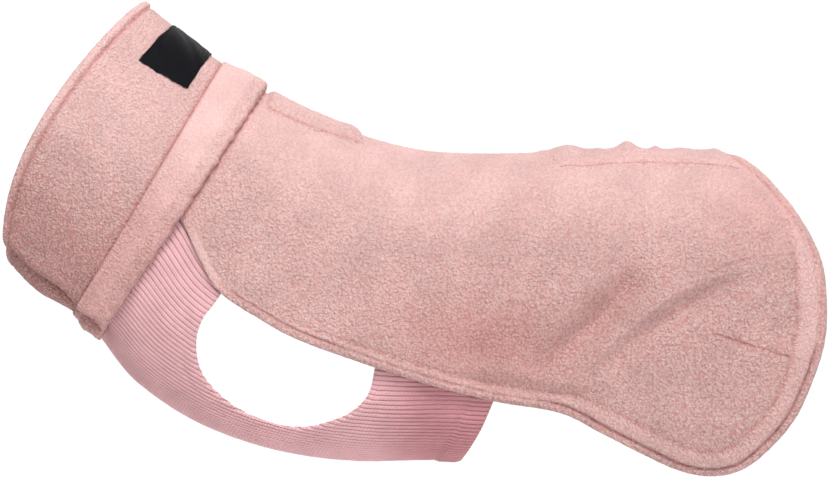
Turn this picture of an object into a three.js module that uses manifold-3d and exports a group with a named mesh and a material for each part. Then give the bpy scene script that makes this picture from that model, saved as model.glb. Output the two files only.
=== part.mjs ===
// A fleece dog pullover, filled out as it is when a standing dog wears it. Millimetres, +Z up.
// The dog faces -X. The origin is on the inside of the back, over the withers.
//
// Every cloth piece is cut from one worn form: rings round the body, from the collar's rim (station 0)
// to behind the rump (station 13). A point of the form is given by its station and by its angle round
// the ring, from 0 on the spine to +-180 degrees under the belly. Positive angles are on the +Y side.
import * as THREE from 'three';
import { mergeVertices } from 'three/addons/utils/BufferGeometryUtils.js';
import Module from 'manifold-3d';

// ---------------------------------------------------------------- driving sizes, mm
const FLEECE = 2.0;            // one layer of fleece
const RIB_KNIT = 1.3;          // rib knit, with its ribs
const RIB_RELIEF = 0.6;        // how far a rib stands over the valley beside it
const SEAM_GAP = 0.3;          // between pieces that are sewn together
const BAND_GAP = 0.6;          // under the band, which bridges pieces whose facets differ
const HEM_WIDTH = 8.0;         // turned hem of the back, edge to stitch line
const HEM_SWELL = 1.3;         // how far the double hem stands over the single cloth
const STITCH_SINK = 0.7;       // how far a row of stitches pulls the cloth in
const RIM_HEM_WIDTH = 6.0;     // turned hem at the collar's rim
const BAND_SWELL = 4.8;        // thickness of the folded band at the neck, in its middle
const BAND_EDGE_THICKNESS = 1.2;
const PLACKET_THICKNESS = 3.4; // two layers, pressed
const PLACKET_HALF = 24.0;     // half widths of the two strips that lie along the spine
const CHANNEL_HALF = 31.0;
const COLLAR_HEIGHT = 56.0;    // from its rim to the seam in the band
const RIB_UNDERLAP = 9.0;      // how far the rib knit runs on under the hem of the back
const LABEL_THICKNESS = 0.9;
const LABEL_GAP = 0.8;         // under the label, which bridges the collar's facets
const DEGREE = Math.PI / 180;

// A list of records from a list of column names and rows of values.
function table(columns, rows) {
  return rows.map((row) => Object.fromEntries(row.map((value, k) => [columns[k], value])));
}

// ---------------------------------------------------------------- the worn form
// One row per ring: its top and bottom point in the X-Z plane, its half width, the roundness of its
// upper and lower half (below 1 is boxier, above 1 is more pointed), how far its sides bow forward, and
// how much more so low down.
const RING_COLUMNS = ['topX', 'topZ', 'bottomX', 'bottomZ', 'half', 'crown', 'keel', 'bow', 'skew'];
const RINGS = table(RING_COLUMNS, [
  [-153.5, 88.5, -233.5, -67.5, 46, 0.95, 0.92, 19.8, 0.32],   // rim
  [-127.8, 67.9, -217.5, -84.5, 45, 0.95, 0.92, 9, 0.35],   // collar
  [-106.5, 51.7, -195.8, -97, 44, 0.95, 0.92, -2, 0.2],   // neck seam
  [-81.5, 35, -180, -113, 46, 0.95, 0.95, -2, 0],   // band edge
  [-55.5, 21.2, -158.6, -139.2, 50, 0.95, 1.0, -2, 0],   // shoulder
  [-22, 8.8, -122.3, -163.5, 54, 0.94, 1.0, 0, 0],   // withers
  [12, 0.2, -78.3, -179.6, 56, 0.94, 1.0, 0, 0],   // chest
  [48, -2.0, -30, -186.9, 57, 0.94, 0.95, 0, 0],   // ribs
  [84, -1.6, 25, -186.7, 56, 0.94, 0.85, 0, 0],   // waist
  [120, -1.5, 84, -192, 56, 0.94, 0.75, 0, 0],   // loin
  [160, -1.6, 146, -205, 58, 0.94, 0.65, 0, 0],   // hip
  [200, -2.8, 200, -212, 59, 0.95, 0.6, 0, 0],   // rump
  [233, -10.5, 240, -210, 55, 0.96, 0.65, 0, 0],   // tail
  [263, -22, 268, -204, 46, 0.96, 0.7, 0, 0],   // behind
]);
const NECK_SEAM = 2;           // stations that the pieces start and end on
const COLLAR_END = 2.494;
const NECK_START = 2.506;
const BAND_EDGE = 3;
const BELLY_END = 8.37;        // at the hem on each side, and how much sooner it ends in the middle
const BELLY_NOTCH = 0.18;
const NOTCH_SPREAD = 68 * DEGREE;

// Soft folds, seen from the side: a ridge (height above 0) or trough along a bent line from a through b
// to c, in X and Z. Side -1 is -Y and side 1 is +Y.
const FOLDS = table(['side', 'ax', 'az', 'bx', 'bz', 'cx', 'cz', 'width', 'height'], [
  [-1, 126, -54, 112, -74, 90, -97, 8, 2.4],
  [-1, 143, -69, 124, -96, 95, -121, 8, -5.5],
  [-1, 236, -66, 164, -68, 112, -126, 7, 4],
  [-1, 214, -77, 170, -84, 122, -130, 7.5, -4.5],
  [-1, 88, -10, 78, -32, 60, -54, 9, -3],
  [-1, 98, -12, 92, -34, 78, -58, 8, 1.6],
  [-1, 47, -5, 36, -17, 12, -29, 8, -2.2],
  [-1, 36, -136, 80, -143, 120, -148, 6, -2.4],
  [-1, -52, -40, -60, -70, -50, -92, 12, -1.4],
  [1, 150, -52, 134, -80, 112, -110, 8, -4.5],
  [1, 228, -62, 164, -72, 128, -120, 7.5, 3.2],
  [1, 214, -84, 178, -94, 144, -128, 8, -3.4],
  [1, 80, -14, 70, -36, 50, -60, 9, -2.6],
  [1, 36, -8, 20, -24, -2, -38, 8, -2],
  [1, 52, -138, 88, -145, 122, -150, 6, -2.2],
]);
// The crease on each side of the throat, where the collar and the band fold in on themselves.
const THROAT_CREASE = { angle: 157.5 * DEGREE, spread: 5 * DEGREE, depth: 6, from: -0.3, to: 2.95 };
// Gathers where a drawn channel ruches the spine: each is a bump on the spine at x, in mm.
const GATHERS = [
  { x: 83, width: 5, height: 0.6 },
  { x: 101, width: 13, height: 2.6 },
  { x: 118, width: 4, height: 0.5 },
  { x: 136, width: 12, height: 4.6 },
  { x: 153, width: 5, height: 2 },
  { x: 168, width: 8, height: 0.9 },
  { x: 190, width: 10, height: 2 },
];
const GATHER_REACH = 20;       // how far down each side of the spine the gathers run

// ---------------------------------------------------------------- outlines in the side view, X and Z
const HEM_OUTLINE = [
  { at: 'under the band', x: -138.5, z: -28 },
  { at: 'band edge', x: -128.7, z: -44 },
  { at: 'shoulder strap', x: -118.5, z: -65.5 },
  { at: 'armhole, front', x: -107, z: -84.5 },
  { at: 'armhole, top', x: -82.8, z: -100.7 },
  { at: 'armhole, middle', x: -59.5, z: -113.2 },
  { at: 'armhole, rear', x: -17.5, z: -128.4 },
  { at: 'belly', x: 20, z: -140.5 },
  { at: 'end of the rib knit', x: 56.5, z: -149.7 },
  { at: 'flank', x: 95, z: -156.5 },
  { at: 'thigh, front', x: 119, z: -168.3 },
  { at: 'thigh, low', x: 142, z: -180 },
  { at: 'thigh, lower', x: 166, z: -190.8 },
  { at: 'thigh, lowest', x: 186, z: -194 },
  { at: 'thigh, low rear', x: 202, z: -190.3 },
  { at: 'thigh, rear', x: 213, z: -183 },
];
const TAIL_OUTLINE = [
  { at: 'spine', x: 203, z: -4.4 },
  { at: 'tail', x: 214.5, z: -13 },
  { at: 'rump, top', x: 226, z: -25.5 },
  { at: 'rump, high', x: 237, z: -40 },
  { at: 'rump', x: 248.8, z: -63.5 },
  { at: 'rump, rearmost', x: 252.4, z: -89.5 },
  { at: 'buttock', x: 250.4, z: -117 },
  { at: 'buttock, low', x: 238.4, z: -150.5 },
  { at: 'thigh, back', x: 227, z: -168.5 },
  { at: 'thigh, rear', x: 213, z: -183 },
];
// The armhole's own edge in the rib knit, from the hem in front of it round under it to the hem behind it.
const ARMHOLE_OUTLINE = [
  { at: 'front, under the hem', x: -101.5, z: -79 },
  { at: 'front, high', x: -110, z: -91.5 },
  { at: 'front', x: -117.5, z: -102 },
  { at: 'front, low', x: -121, z: -116 },
  { at: 'corner', x: -117.5, z: -134 },
  { at: 'below, front', x: -103, z: -150.5 },
  { at: 'below, corner', x: -84, z: -161 },
  { at: 'below', x: -60, z: -166.2 },
  { at: 'below, rear', x: -34, z: -159.5 },
  { at: 'rear, low', x: -19.5, z: -147 },
  { at: 'rear', x: -15, z: -131 },
  { at: 'rear, under the hem', x: -14, z: -120 },
];

// ---------------------------------------------------------------- small maths
const clamp = (value, low, high) => Math.min(high, Math.max(low, value));
const mix = (a, b, share) => a + (b - a) * share;
const ease = (share) => {
  const t = clamp(share, 0, 1);
  return t * t * (3 - 2 * t);
};
const bell = (distance, width) => Math.exp(-((distance / width) ** 2));

// The value of one column of a table at a fractional row, on a smooth curve through the rows.
function columnAt(rows, key, row) {
  const i = clamp(Math.floor(row), 0, rows.length - 2);
  const t = row - i;
  const value = (k) => rows[clamp(k, 0, rows.length - 1)][key];
  const before = (value(i + 1) - value(i - 1)) / 2;
  const after = (value(i + 2) - value(i)) / 2;
  const rise = value(i + 1) - value(i);
  return value(i) + t * (before + t * (3 * rise - 2 * before - after + t * (before + after - 2 * rise)));
}

// ---------------------------------------------------------------- points on the form
function ringAt(station) {
  const ring = {};
  for (const key of RING_COLUMNS) {
    ring[key] = columnAt(RINGS, key, station);
  }
  return ring;
}

// The side view of a ring's point, for the share of the way down from the ring's top to its bottom.
function sideView(ring, down) {
  const alongX = ring.bottomX - ring.topX;
  const alongZ = ring.bottomZ - ring.topZ;
  const share = clamp(down, 0, 1);
  const bulge = (4 * share * (1 - share)) ** 0.75 * (1 + ring.skew * (2 * share - 1));
  const forward = (ring.bow * bulge) / Math.hypot(alongX, alongZ);
  return {
    x: ring.topX + alongX * down + alongZ * forward,
    z: ring.topZ + alongZ * down - alongX * forward,
  };
}

function formPoint(station, angle) {
  const ring = ringAt(station);
  const { x, z } = sideView(ring, (1 - Math.cos(angle)) / 2);
  const turn = Math.sin(angle);
  const roundness = Math.cos(angle) > 0 ? ring.crown : ring.keel;
  return new THREE.Vector3(x, Math.sign(turn) * ring.half * Math.abs(turn) ** roundness, z);
}

function formNormal(station, angle) {
  const step = 0.02;
  const along = formPoint(station + step, angle).sub(formPoint(station - step, angle));
  const round = formPoint(station, angle + step).sub(formPoint(station, angle - step));
  return along.cross(round).normalize();
}

// The station and angle of the form's point that has this place in the side view.
function locate(x, z) {
  const error = (station, down) => {
    const p = sideView(ringAt(station), down);
    return [x - p.x, z - p.z];
  };
  let best = { station: 0, down: 0, far: Infinity };
  for (let station = 0; station <= RINGS.length - 1; station += 0.5) {
    for (let down = 0; down <= 1; down += 0.1) {
      const far = Math.hypot(...error(station, down));
      if (far < best.far) best = { station, down, far };
    }
  }
  let { station, down } = best;
  for (let round = 0; round < 12; round++) {
    const step = 1e-4;
    const [ex, ez] = error(station, down);
    const [sx, sz] = error(station + step, down).map((e, k) => ([ex, ez][k] - e) / step);
    const [dx, dz] = error(station, down + step).map((e, k) => ([ex, ez][k] - e) / step);
    const size = sx * dz - sz * dx;
    station += (ex * dz - ez * dx) / size;
    down = clamp(down + (sx * ez - sz * ex) / size, 0, 1);
  }
  return { station, angle: Math.acos(1 - 2 * down) };
}

// How far from a fold's bent line a point of the side view lies, and how far along the line it is.
function alongFold(fold, x, z) {
  let nearest = { distance: Infinity, share: 0 };
  const steps = 30;
  for (let k = 0; k <= steps; k++) {
    const t = k / steps;
    const px = (1 - t) ** 2 * fold.ax + 2 * t * (1 - t) * fold.bx + t ** 2 * fold.cx;
    const pz = (1 - t) ** 2 * fold.az + 2 * t * (1 - t) * fold.bz + t ** 2 * fold.cz;
    const distance = Math.hypot(x - px, z - pz);
    if (distance < nearest.distance) nearest = { distance, share: t };
  }
  return nearest;
}

// How far the folds, the throat's crease and the gathers move the cloth out from the form here.
function foldLift(station, angle) {
  const p = formPoint(station, angle);
  let lift = 0;
  for (const fold of FOLDS) {
    if (Math.sign(p.y) !== fold.side) continue;
    const { distance, share } = alongFold(fold, p.x, p.z);
    const taper = 0.35 + 0.65 * Math.sin(Math.PI * share) ** 0.7;
    lift += fold.height * taper * bell(distance, fold.width) * ease(Math.abs(p.y) / 14);
  }
  const creaseEnds = ease((station - THROAT_CREASE.from) / 0.8) * ease((THROAT_CREASE.to - station) / 0.8);
  const fromCrease = Math.abs(angle) - THROAT_CREASE.angle;
  lift -= THROAT_CREASE.depth * creaseEnds * bell(fromCrease, THROAT_CREASE.spread);
  if (Math.abs(angle) < Math.PI / 2) {
    for (const gather of GATHERS) {
      const reach = ease(1 - Math.abs(p.y) / GATHER_REACH);
      lift += gather.height * reach * bell(p.x - gather.x, gather.width / 2);
    }
  }
  return lift;
}

// A point of the cloth, so many millimetres outside the folded form.
function clothPoint(station, angle, out) {
  const lift = out + foldLift(station, angle);
  return formPoint(station, angle).addScaledVector(formNormal(station, angle), lift);
}

// ---------------------------------------------------------------- outlines as curves
// A table of side-view points as a smooth curve, walked by its share of the length.
function outlineCurve(rows) {
  const samples = [];
  const perRow = 12;
  let length = 0;
  for (let k = 0; k <= (rows.length - 1) * perRow; k++) {
    const point = { x: columnAt(rows, 'x', k / perRow), z: columnAt(rows, 'z', k / perRow) };
    if (k) length += Math.hypot(point.x - samples[k - 1].x, point.z - samples[k - 1].z);
    samples.push({ ...point, length });
  }
  return (share) => {
    const wanted = clamp(share, 0, 1) * length;
    let k = 1;
    while (k < samples.length - 1 && samples[k].length < wanted) k++;
    const a = samples[k - 1];
    const b = samples[k];
    const t = (wanted - a.length) / (b.length - a.length);
    return { x: mix(a.x, b.x, t), z: mix(a.z, b.z, t) };
  };
}

// Cross-height of a turned hem at a distance from its edge: a double roll, then the stitches' groove.
function hemHeight(distance, width) {
  const roll = HEM_SWELL * ease((distance + 1.2) / 2.4) * ease((width - distance) / 1.4);
  return roll - STITCH_SINK * bell(distance - width - 0.4, 1.1);
}

// ---------------------------------------------------------------- closed solids
const solid = await Module();
solid.setup();

function geometryOf(corners) {
  const geometry = new THREE.BufferGeometry();
  const numbers = corners.flatMap((p) => p.toArray());
  geometry.setAttribute('position', new THREE.Float32BufferAttribute(numbers, 3));
  return geometry;
}

// A band of triangles between two edges of a wall. The inner edge has one point for every step outer ones.
function rimBand(outer, inner, step, turned) {
  const faces = [];
  const add = (a, b, c) => faces.push(...(turned ? [a, c, b] : [a, b, c]));
  for (let k = 0; k + step < outer.length; k += step) {
    const middle = k + Math.floor(step / 2);
    for (let q = k; q < middle; q++) add(outer[q], outer[q + 1], inner[k]);
    add(outer[middle], inner[k + step], inner[k]);
    for (let q = middle; q < k + step; q++) add(outer[q], outer[q + 1], inner[k + step]);
  }
  return faces;
}

// A closed wall between two grids of points, grid[along][round]. The inside has every stepAlong-th row
// and every stepRound-th column of its grid. A loop's last column is its first.
function wallGeometry({ outer, inner, stepAlong = 1, stepRound = 1, loop = false }) {
  const rows = outer.length - 1;
  const columns = outer[0].length - 1;
  const corners = [];
  const skin = (grid, a, b, turned) => {
    for (let i = 0; i < rows; i += a) {
      for (let j = 0; j < columns; j += b) {
        const [p, q, r, s] = [grid[i][j], grid[i + a][j], grid[i + a][j + b], grid[i][j + b]];
        corners.push(...(turned ? [p, r, q, p, s, r] : [p, q, r, p, r, s]));
      }
    }
  };
  skin(outer, 1, 1, false);
  skin(inner, stepAlong, stepRound, true);
  corners.push(...rimBand(outer[0], inner[0], stepRound, false));
  corners.push(...rimBand(outer[rows], inner[rows], stepRound, true));
  if (!loop) {
    const edge = (grid, j) => grid.map((row) => row[j]);
    corners.push(...rimBand(edge(outer, 0), edge(inner, 0), stepAlong, true));
    corners.push(...rimBand(edge(outer, columns), edge(inner, columns), stepAlong, false));
  }
  return geometryOf(corners);
}

function toSolid(geometry) {
  const bare = geometry.clone();
  bare.deleteAttribute('normal');
  bare.deleteAttribute('uv');
  const merged = mergeVertices(bare, 1e-4);
  return new solid.Manifold(new solid.Mesh({
    numProp: 3,
    vertProperties: merged.attributes.position.array,
    triVerts: new Uint32Array(merged.index.array),
  }));
}

function fromSolid(body) {
  const mesh = body.getMesh();
  const geometry = new THREE.BufferGeometry();
  geometry.setAttribute('position', new THREE.BufferAttribute(new Float32Array(mesh.vertProperties), 3));
  geometry.setIndex(new THREE.BufferAttribute(mesh.triVerts, 1));
  return geometry.toNonIndexed();
}

// Both faces of a wall, from a function that gives a grid point's station, angle and height of each face.
function clothWall(rows, columns, pointAt, options = {}) {
  const outer = [];
  const inner = [];
  for (let i = 0; i <= rows; i++) {
    outer.push([]);
    inner.push([]);
    for (let j = 0; j <= columns; j++) {
      const wrapped = options.loop && j === columns ? 0 : j;
      const { station, angle, top, bottom } = pointAt(i, wrapped);
      outer[i].push(clothPoint(station, angle, top));
      inner[i].push(clothPoint(station, angle, bottom));
    }
  }
  return wallGeometry({ outer, inner, ...options });
}

// ---------------------------------------------------------------- back panel
// A four-sided cut from spine to hem on each side, and from the neck seam to the tail hem. Its grid has
// columns for the strips on the spine, rows close together where the channel gathers it, and rows close
// to the two hems, so that their double roll and groove show.
const STRIP_STITCHES = 2.4;    // from a strip's edge to its row of stitches
const STRIP_COLUMNS = [
  0, 8, 16, PLACKET_HALF - STRIP_STITCHES, PLACKET_HALF, CHANNEL_HALF - STRIP_STITCHES, CHANNEL_HALF,
];
const HEM_ROWS = [0, 2, 6.6, HEM_WIDTH + 0.4, 11.5];
// Rows from the neck seam to the gathered channel, as shares of the panel's length. The leash placket
// lies between the third and the ninth.
const SMOOTH_ROWS = [0, 0.034, 0.067, 0.103, 0.139, 0.175, 0.211, 0.247, 0.284, 0.35, 0.43, 0.51];
const GATHERED_ROWS = 28;      // from there to the tail hem
const GATHERED_FROM = 0.59;    // where the channel starts, as a share of the panel's length
const FLANK_COLUMNS = 8;       // between the strips on the spine and the hem
const PANEL_ROWS = SMOOTH_ROWS.length + GATHERED_ROWS + HEM_ROWS.length - 1;
const PANEL_COLUMNS = STRIP_COLUMNS.length - 1 + FLANK_COLUMNS + HEM_ROWS.length - 1;

// The last shares of a side, at the hem's distances from its edge.
const hemShares = (length) => [...HEM_ROWS].reverse().map((distance) => 1 - distance / length);

function sharesAlong(length) {
  const hem = hemShares(length);
  const gathered = Array.from({ length: GATHERED_ROWS }, (_, k) => (
    mix(GATHERED_FROM, hem[0], k / GATHERED_ROWS)
  ));
  return [...SMOOTH_ROWS, ...gathered, ...hem];
}

function sharesDown(length) {
  const hem = hemShares(length);
  const strip = STRIP_COLUMNS.map((distance) => distance / length);
  const from = strip.pop();
  const flank = Array.from({ length: FLANK_COLUMNS }, (_, k) => mix(from, hem[0], k / FLANK_COLUMNS));
  return [...strip, ...flank, ...hem];
}

// Stations and angles along an outline, so that they are worked out only once.
function placedCurve(rows) {
  const curve = outlineCurve(rows);
  const steps = 120;
  const samples = Array.from({ length: steps + 1 }, (_, k) => {
    const { x, z } = curve(k / steps);
    return locate(x, z);
  });
  return (share) => {
    const k = clamp(Math.floor(share * steps), 0, steps - 1);
    const t = share * steps - k;
    return {
      station: mix(samples[k].station, samples[k + 1].station, t),
      angle: mix(samples[k].angle, samples[k + 1].angle, t),
    };
  };
}

// One side of the panel, as rows of stations, angles and hem heights from the spine down.
function panelGrid() {
  const hem = placedCurve(HEM_OUTLINE);
  const tail = placedCurve(TAIL_OUTLINE);
  const start = hem(0);
  const end = tail(0);
  const corner = tail(1);
  // A point of the cut, blended between its four edges: spine, hem, neck seam and tail hem.
  const cutAt = (along, down) => {
    const low = hem(along);
    const rear = tail(down);
    const spine = mix(NECK_START, end.station, along);
    const seamToTail = mix(NECK_START, rear.station, along);
    const corners = mix(spine, mix(NECK_START, corner.station, along), down);
    const fromNeck = mix(start.angle * down, rear.angle, along);
    return {
      station: Math.max(NECK_START, mix(spine, low.station, down) + seamToTail - corners),
      angle: down ? low.angle * down + fromNeck - mix(start.angle, corner.angle, along) * down : 0,
    };
  };
  const pointAt = (along, down) => {
    const { station, angle } = cutAt(along, down);
    return formPoint(station, angle);
  };
  const lengthOf = (walk) => {
    let length = 0;
    for (let k = 1; k <= 16; k++) length += walk(k / 16).distanceTo(walk((k - 1) / 16));
    return length;
  };
  const edge = [];
  for (let k = 0; k <= 120; k++) edge.push(pointAt(k / 120, 1), pointAt(1, k / 120));
  const along = [];
  for (let j = 0; j <= PANEL_COLUMNS; j++) {
    along.push(sharesAlong(lengthOf((t) => pointAt(t, j / PANEL_COLUMNS))));
  }
  const grid = [];
  for (let i = 0; i <= PANEL_ROWS; i++) {
    const down = sharesDown(lengthOf((t) => pointAt(along[0][i], t)));
    grid.push(down.map((share, j) => {
      const { station, angle } = cutAt(along[j][i], share);
      const here = formPoint(station, angle);
      const fromEdge = Math.min(...edge.map((p) => p.distanceTo(here)));
      const outOfBand = ease((station - BAND_EDGE - 0.2) / 0.3);
      return { station, angle, height: hemHeight(fromEdge, HEM_WIDTH) * outOfBand };
    }));
  }
  return grid;
}

const PANEL = panelGrid();

// A point of the panel's grid on either side: positive columns are on the +Y side.
function panelPoint(row, column) {
  const { station, angle, height } = PANEL[row][Math.abs(column)];
  return { station, angle: Math.sign(column) * angle, height };
}

function backPanel() {
  return clothWall(PANEL_ROWS, 2 * PANEL_COLUMNS, (i, j) => {
    const { station, angle, height } = panelPoint(i, j - PANEL_COLUMNS);
    return { station, angle, top: height, bottom: -FLEECE };
  }, { stepAlong: 2 });
}

// ---------------------------------------------------------------- chest and belly panel, rib knit
const RIBS_ROUND = 84;         // ribs between the two sides' widest points, round the belly
const RIB_ROWS = 16;
const RIB_SIDE = [82 * DEGREE, 93 * DEGREE]; // where the ribs start at the neck, and from the armholes on
const SIDE_RIB = [2.3, 1.65];  // how much wider a rib is at the sides than under the belly, there
// The +Y side hangs a little more open: its cut is larger by this share, from a place of the side view.
const FAR_SIDE = { open: 1.036, x: 8.7, z: -53.4 };

const UNDER_HEM = FLEECE + 0.8; // how far under the form the rib knit lies beside the back's hem
const CLEAR_OF_HEM = 0.5;      // and well away from it
const HEM_STEP = { from: 3 * DEGREE, over: 11 * DEGREE };

function ribDepth(station, angle, hem) {
  const fromHem = Math.abs(angle) - hem(station);
  return mix(UNDER_HEM, CLEAR_OF_HEM, ease((fromHem - HEM_STEP.from) / HEM_STEP.over));
}

// The hem's angle at a station, from its outline.
function hemAngles() {
  const curve = placedCurve(HEM_OUTLINE);
  const rows = Array.from({ length: 61 }, (_, k) => curve(k / 60));
  return (station) => {
    let k = 1;
    while (k < rows.length - 1 && rows[k].station < station) k++;
    const a = rows[k - 1];
    const b = rows[k];
    return mix(a.angle, b.angle, clamp((station - a.station) / (b.station - a.station), 0, 1));
  };
}

// What is cut off the rib knit on one side: all above its line under the hem, and the armhole.
function ribCutter(side) {
  const hem = outlineCurve(HEM_OUTLINE);
  const armhole = outlineCurve(ARMHOLE_OUTLINE);
  const holeFront = ARMHOLE_OUTLINE[0].x;
  const holeRear = ARMHOLE_OUTLINE[ARMHOLE_OUTLINE.length - 1].x;
  const beyond = { above: 120, front: 40, pastBelly: 0.72, width: 200 };
  const steps = 40;
  const line = [];
  for (let k = 0; k <= steps; k++) {
    const share = (k / steps) * beyond.pastBelly;
    const here = hem(share);
    const next = hem(share + 0.01);
    const length = Math.hypot(next.x - here.x, next.z - here.z);
    line.push({
      x: here.x - ((next.z - here.z) / length) * RIB_UNDERLAP,
      z: here.z + ((next.x - here.x) / length) * RIB_UNDERLAP,
    });
  }
  const path = [{ x: line[0].x - beyond.front, z: line[0].z }, ...line.filter((p) => p.x < holeFront - 1)];
  for (let k = 0; k <= steps; k++) path.push(armhole(k / steps));
  path.push(...line.filter((p) => p.x > holeRear + 1));
  path.push({ x: path[path.length - 1].x, z: beyond.above }, { x: path[0].x, z: beyond.above });
  const open = side > 0 ? FAR_SIDE.open : 1;
  const shape = new THREE.Shape(path.map((p) => new THREE.Vector2(
    FAR_SIDE.x + (p.x - FAR_SIDE.x) * open,
    FAR_SIDE.z + (p.z - FAR_SIDE.z) * open,
  )));
  const geometry = new THREE.ExtrudeGeometry(shape, { depth: beyond.width, bevelEnabled: false });
  geometry.rotateX(Math.PI / 2);
  geometry.translate(0, side > 0 ? beyond.width : 0, 0);
  return geometry;
}

// Where the rib knit ends at an angle: at the belly, a little sooner in the middle.
const bellyEnd = (angle) => BELLY_END - BELLY_NOTCH * ease(1 - Math.abs(Math.PI - angle) / NOTCH_SPREAD);

// The angles of one row of the rib knit. Its ribs run with the hem at the strap.
function ribAngles(row, columns) {
  const fromNeck = ease((row * (BELLY_END - NECK_START)) / 1.9);
  const side = mix(...RIB_SIDE, fromNeck);
  const widest = mix(...SIDE_RIB, fromNeck);
  const steps = 240;
  const walk = [];
  for (let k = 0; k <= steps; k++) {
    const angle = mix(side, 2 * Math.PI - side, k / steps);
    const point = formPoint(mix(NECK_START, bellyEnd(angle), row), angle);
    const width = mix(1, widest, Math.abs(angle - Math.PI) / (Math.PI - side));
    const length = k ? walk[k - 1].length + point.distanceTo(walk[k - 1].point) / width : 0;
    walk.push({ angle, point, length });
  }
  let k = 1;
  return Array.from({ length: columns + 1 }, (_, j) => {
    const wanted = (j / columns) * walk[steps].length;
    while (k < steps && walk[k].length < wanted) k++;
    const [a, b] = [walk[k - 1], walk[k]];
    return mix(a.angle, b.angle, (wanted - a.length) / (b.length - a.length));
  });
}

function chestPanel() {
  const hem = hemAngles();
  const columns = 2 * RIBS_ROUND;
  const angles = Array.from({ length: RIB_ROWS + 1 }, (_, i) => ribAngles(i / RIB_ROWS, columns));
  const whole = clothWall(RIB_ROWS, columns, (i, j) => {
    const angle = angles[i][j];
    const station = mix(NECK_START, bellyEnd(angle), i / RIB_ROWS);
    const signed = angle > Math.PI ? angle - 2 * Math.PI : angle;
    const level = -ribDepth(station, signed, hem);
    return { station, angle, top: level - (j % 2 ? 0 : RIB_RELIEF), bottom: level - RIB_KNIT };
  }, { stepRound: 4 });
  let cloth = toSolid(whole);
  for (const side of [-1, 1]) cloth = cloth.subtract(toSolid(ribCutter(side)));
  return fromSolid(cloth);
}

// ---------------------------------------------------------------- collar and neck band
const ROUND = 48;              // steps round the neck
const RIM_ROWS = [0, 1.5, 4.8, RIM_HEM_WIDTH + 0.4, 9];
const COLLAR_ROWS = RIM_ROWS.length - 1 + 8;
const LABEL = { from: 0.7, to: 1.68, reach: 46 * DEGREE, rows: 4, columns: 12 }; // stations and angle

function collarStation(row) {
  const rim = RIM_ROWS.length - 1;
  if (row <= rim) return (RIM_ROWS[row] / COLLAR_HEIGHT) * NECK_SEAM;
  return mix((RIM_ROWS[rim] / COLLAR_HEIGHT) * NECK_SEAM, COLLAR_END, (row - rim) / (COLLAR_ROWS - rim));
}

function collar() {
  return clothWall(COLLAR_ROWS, ROUND, (i, j) => ({
    station: collarStation(i),
    angle: (j / ROUND) * 2 * Math.PI,
    top: hemHeight((collarStation(i) / NECK_SEAM) * COLLAR_HEIGHT, RIM_HEM_WIDTH),
    bottom: -FLEECE,
  }), { loop: true });
}

function neckBand() {
  const across = 8;
  return clothWall(across, ROUND, (i, j) => {
    const turn = (i / across) * Math.PI;
    const share = (1 - Math.cos(turn)) / 2;
    return {
      station: mix(NECK_SEAM, BAND_EDGE, share),
      angle: (j / ROUND) * 2 * Math.PI,
      top: BAND_GAP + mix(BAND_EDGE_THICKNESS, BAND_SWELL, Math.sin(turn) ** 0.8),
      bottom: BAND_GAP,
    };
  }, { loop: true, stepAlong: 2 });
}

// ---------------------------------------------------------------- strips on the spine, and the label
// A strip of cloth along the spine, on the panel's own points, with a row of stitches along each side.
function spineStrip(fromX, toX, half, thickness) {
  const rows = PANEL.map((row) => formPoint(row[0].station, 0).x);
  const first = rows.findIndex((x) => x >= fromX);
  const last = rows.findLastIndex((x) => x <= toX);
  const columns = STRIP_COLUMNS.indexOf(half);
  const heights = STRIP_COLUMNS.map(() => thickness);
  heights[columns] = thickness * 0.45;
  heights[columns - 1] = thickness - STITCH_SINK;
  return clothWall(last - first, 2 * columns, (i, j) => {
    const { station, angle, height } = panelPoint(first + i, j - columns);
    return {
      station,
      angle,
      top: height + SEAM_GAP + heights[Math.abs(j - columns)],
      bottom: height + SEAM_GAP,
    };
  });
}

function label() {
  return clothWall(LABEL.rows, LABEL.columns, (i, j) => ({
    station: mix(LABEL.from, LABEL.to, i / LABEL.rows),
    angle: ((2 * j) / LABEL.columns - 1) * LABEL.reach,
    top: LABEL_GAP + LABEL_THICKNESS,
    bottom: LABEL_GAP,
  }));
}

// ---------------------------------------------------------------- the garment
const fleecePink = () => new THREE.MeshStandardMaterial({ color: 0xe5b0a9, roughness: 0.95, metalness: 0 });
const ribPink = () => new THREE.MeshStandardMaterial({ color: 0xd9959b, roughness: 0.9, metalness: 0 });
const wovenBlack = () => new THREE.MeshStandardMaterial({ color: 0x17171b, roughness: 0.6, metalness: 0 });

const garment = new THREE.Group();
garment.name = 'dog_sweater';

function addPiece(name, geometry, material) {
  geometry.computeVertexNormals();
  const mesh = new THREE.Mesh(geometry, material);
  mesh.name = name;
  garment.add(mesh);
}

addPiece('back_panel', backPanel(), fleecePink());
addPiece('chest_panel', chestPanel(), ribPink());
addPiece('collar', collar(), fleecePink());
addPiece('neck_band', neckBand(), fleecePink());
addPiece('leash_placket', spineStrip(-81, -22, PLACKET_HALF, PLACKET_THICKNESS), fleecePink());
addPiece('spine_channel', spineStrip(80, 194, CHANNEL_HALF, FLEECE), fleecePink());
addPiece('neck_label', label(), wovenBlack());

export default garment;
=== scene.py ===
"""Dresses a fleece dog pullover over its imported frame: cloth walls with their nap, ribs, hems, gathers and
stitches, a blank woven label, and a plain studio.

Shapes are worked out in millimetres and set in metres, +Z up, in the frame's own axes. The dog faces -X.
"""
import math
import bpy  # noqa: E402
import numpy as np  # noqa: E402
from bpy.props import FloatProperty, FloatVectorProperty, PointerProperty  # noqa: E402
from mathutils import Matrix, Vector  # noqa: E402
from mathutils.kdtree import KDTree  # noqa: E402


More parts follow.
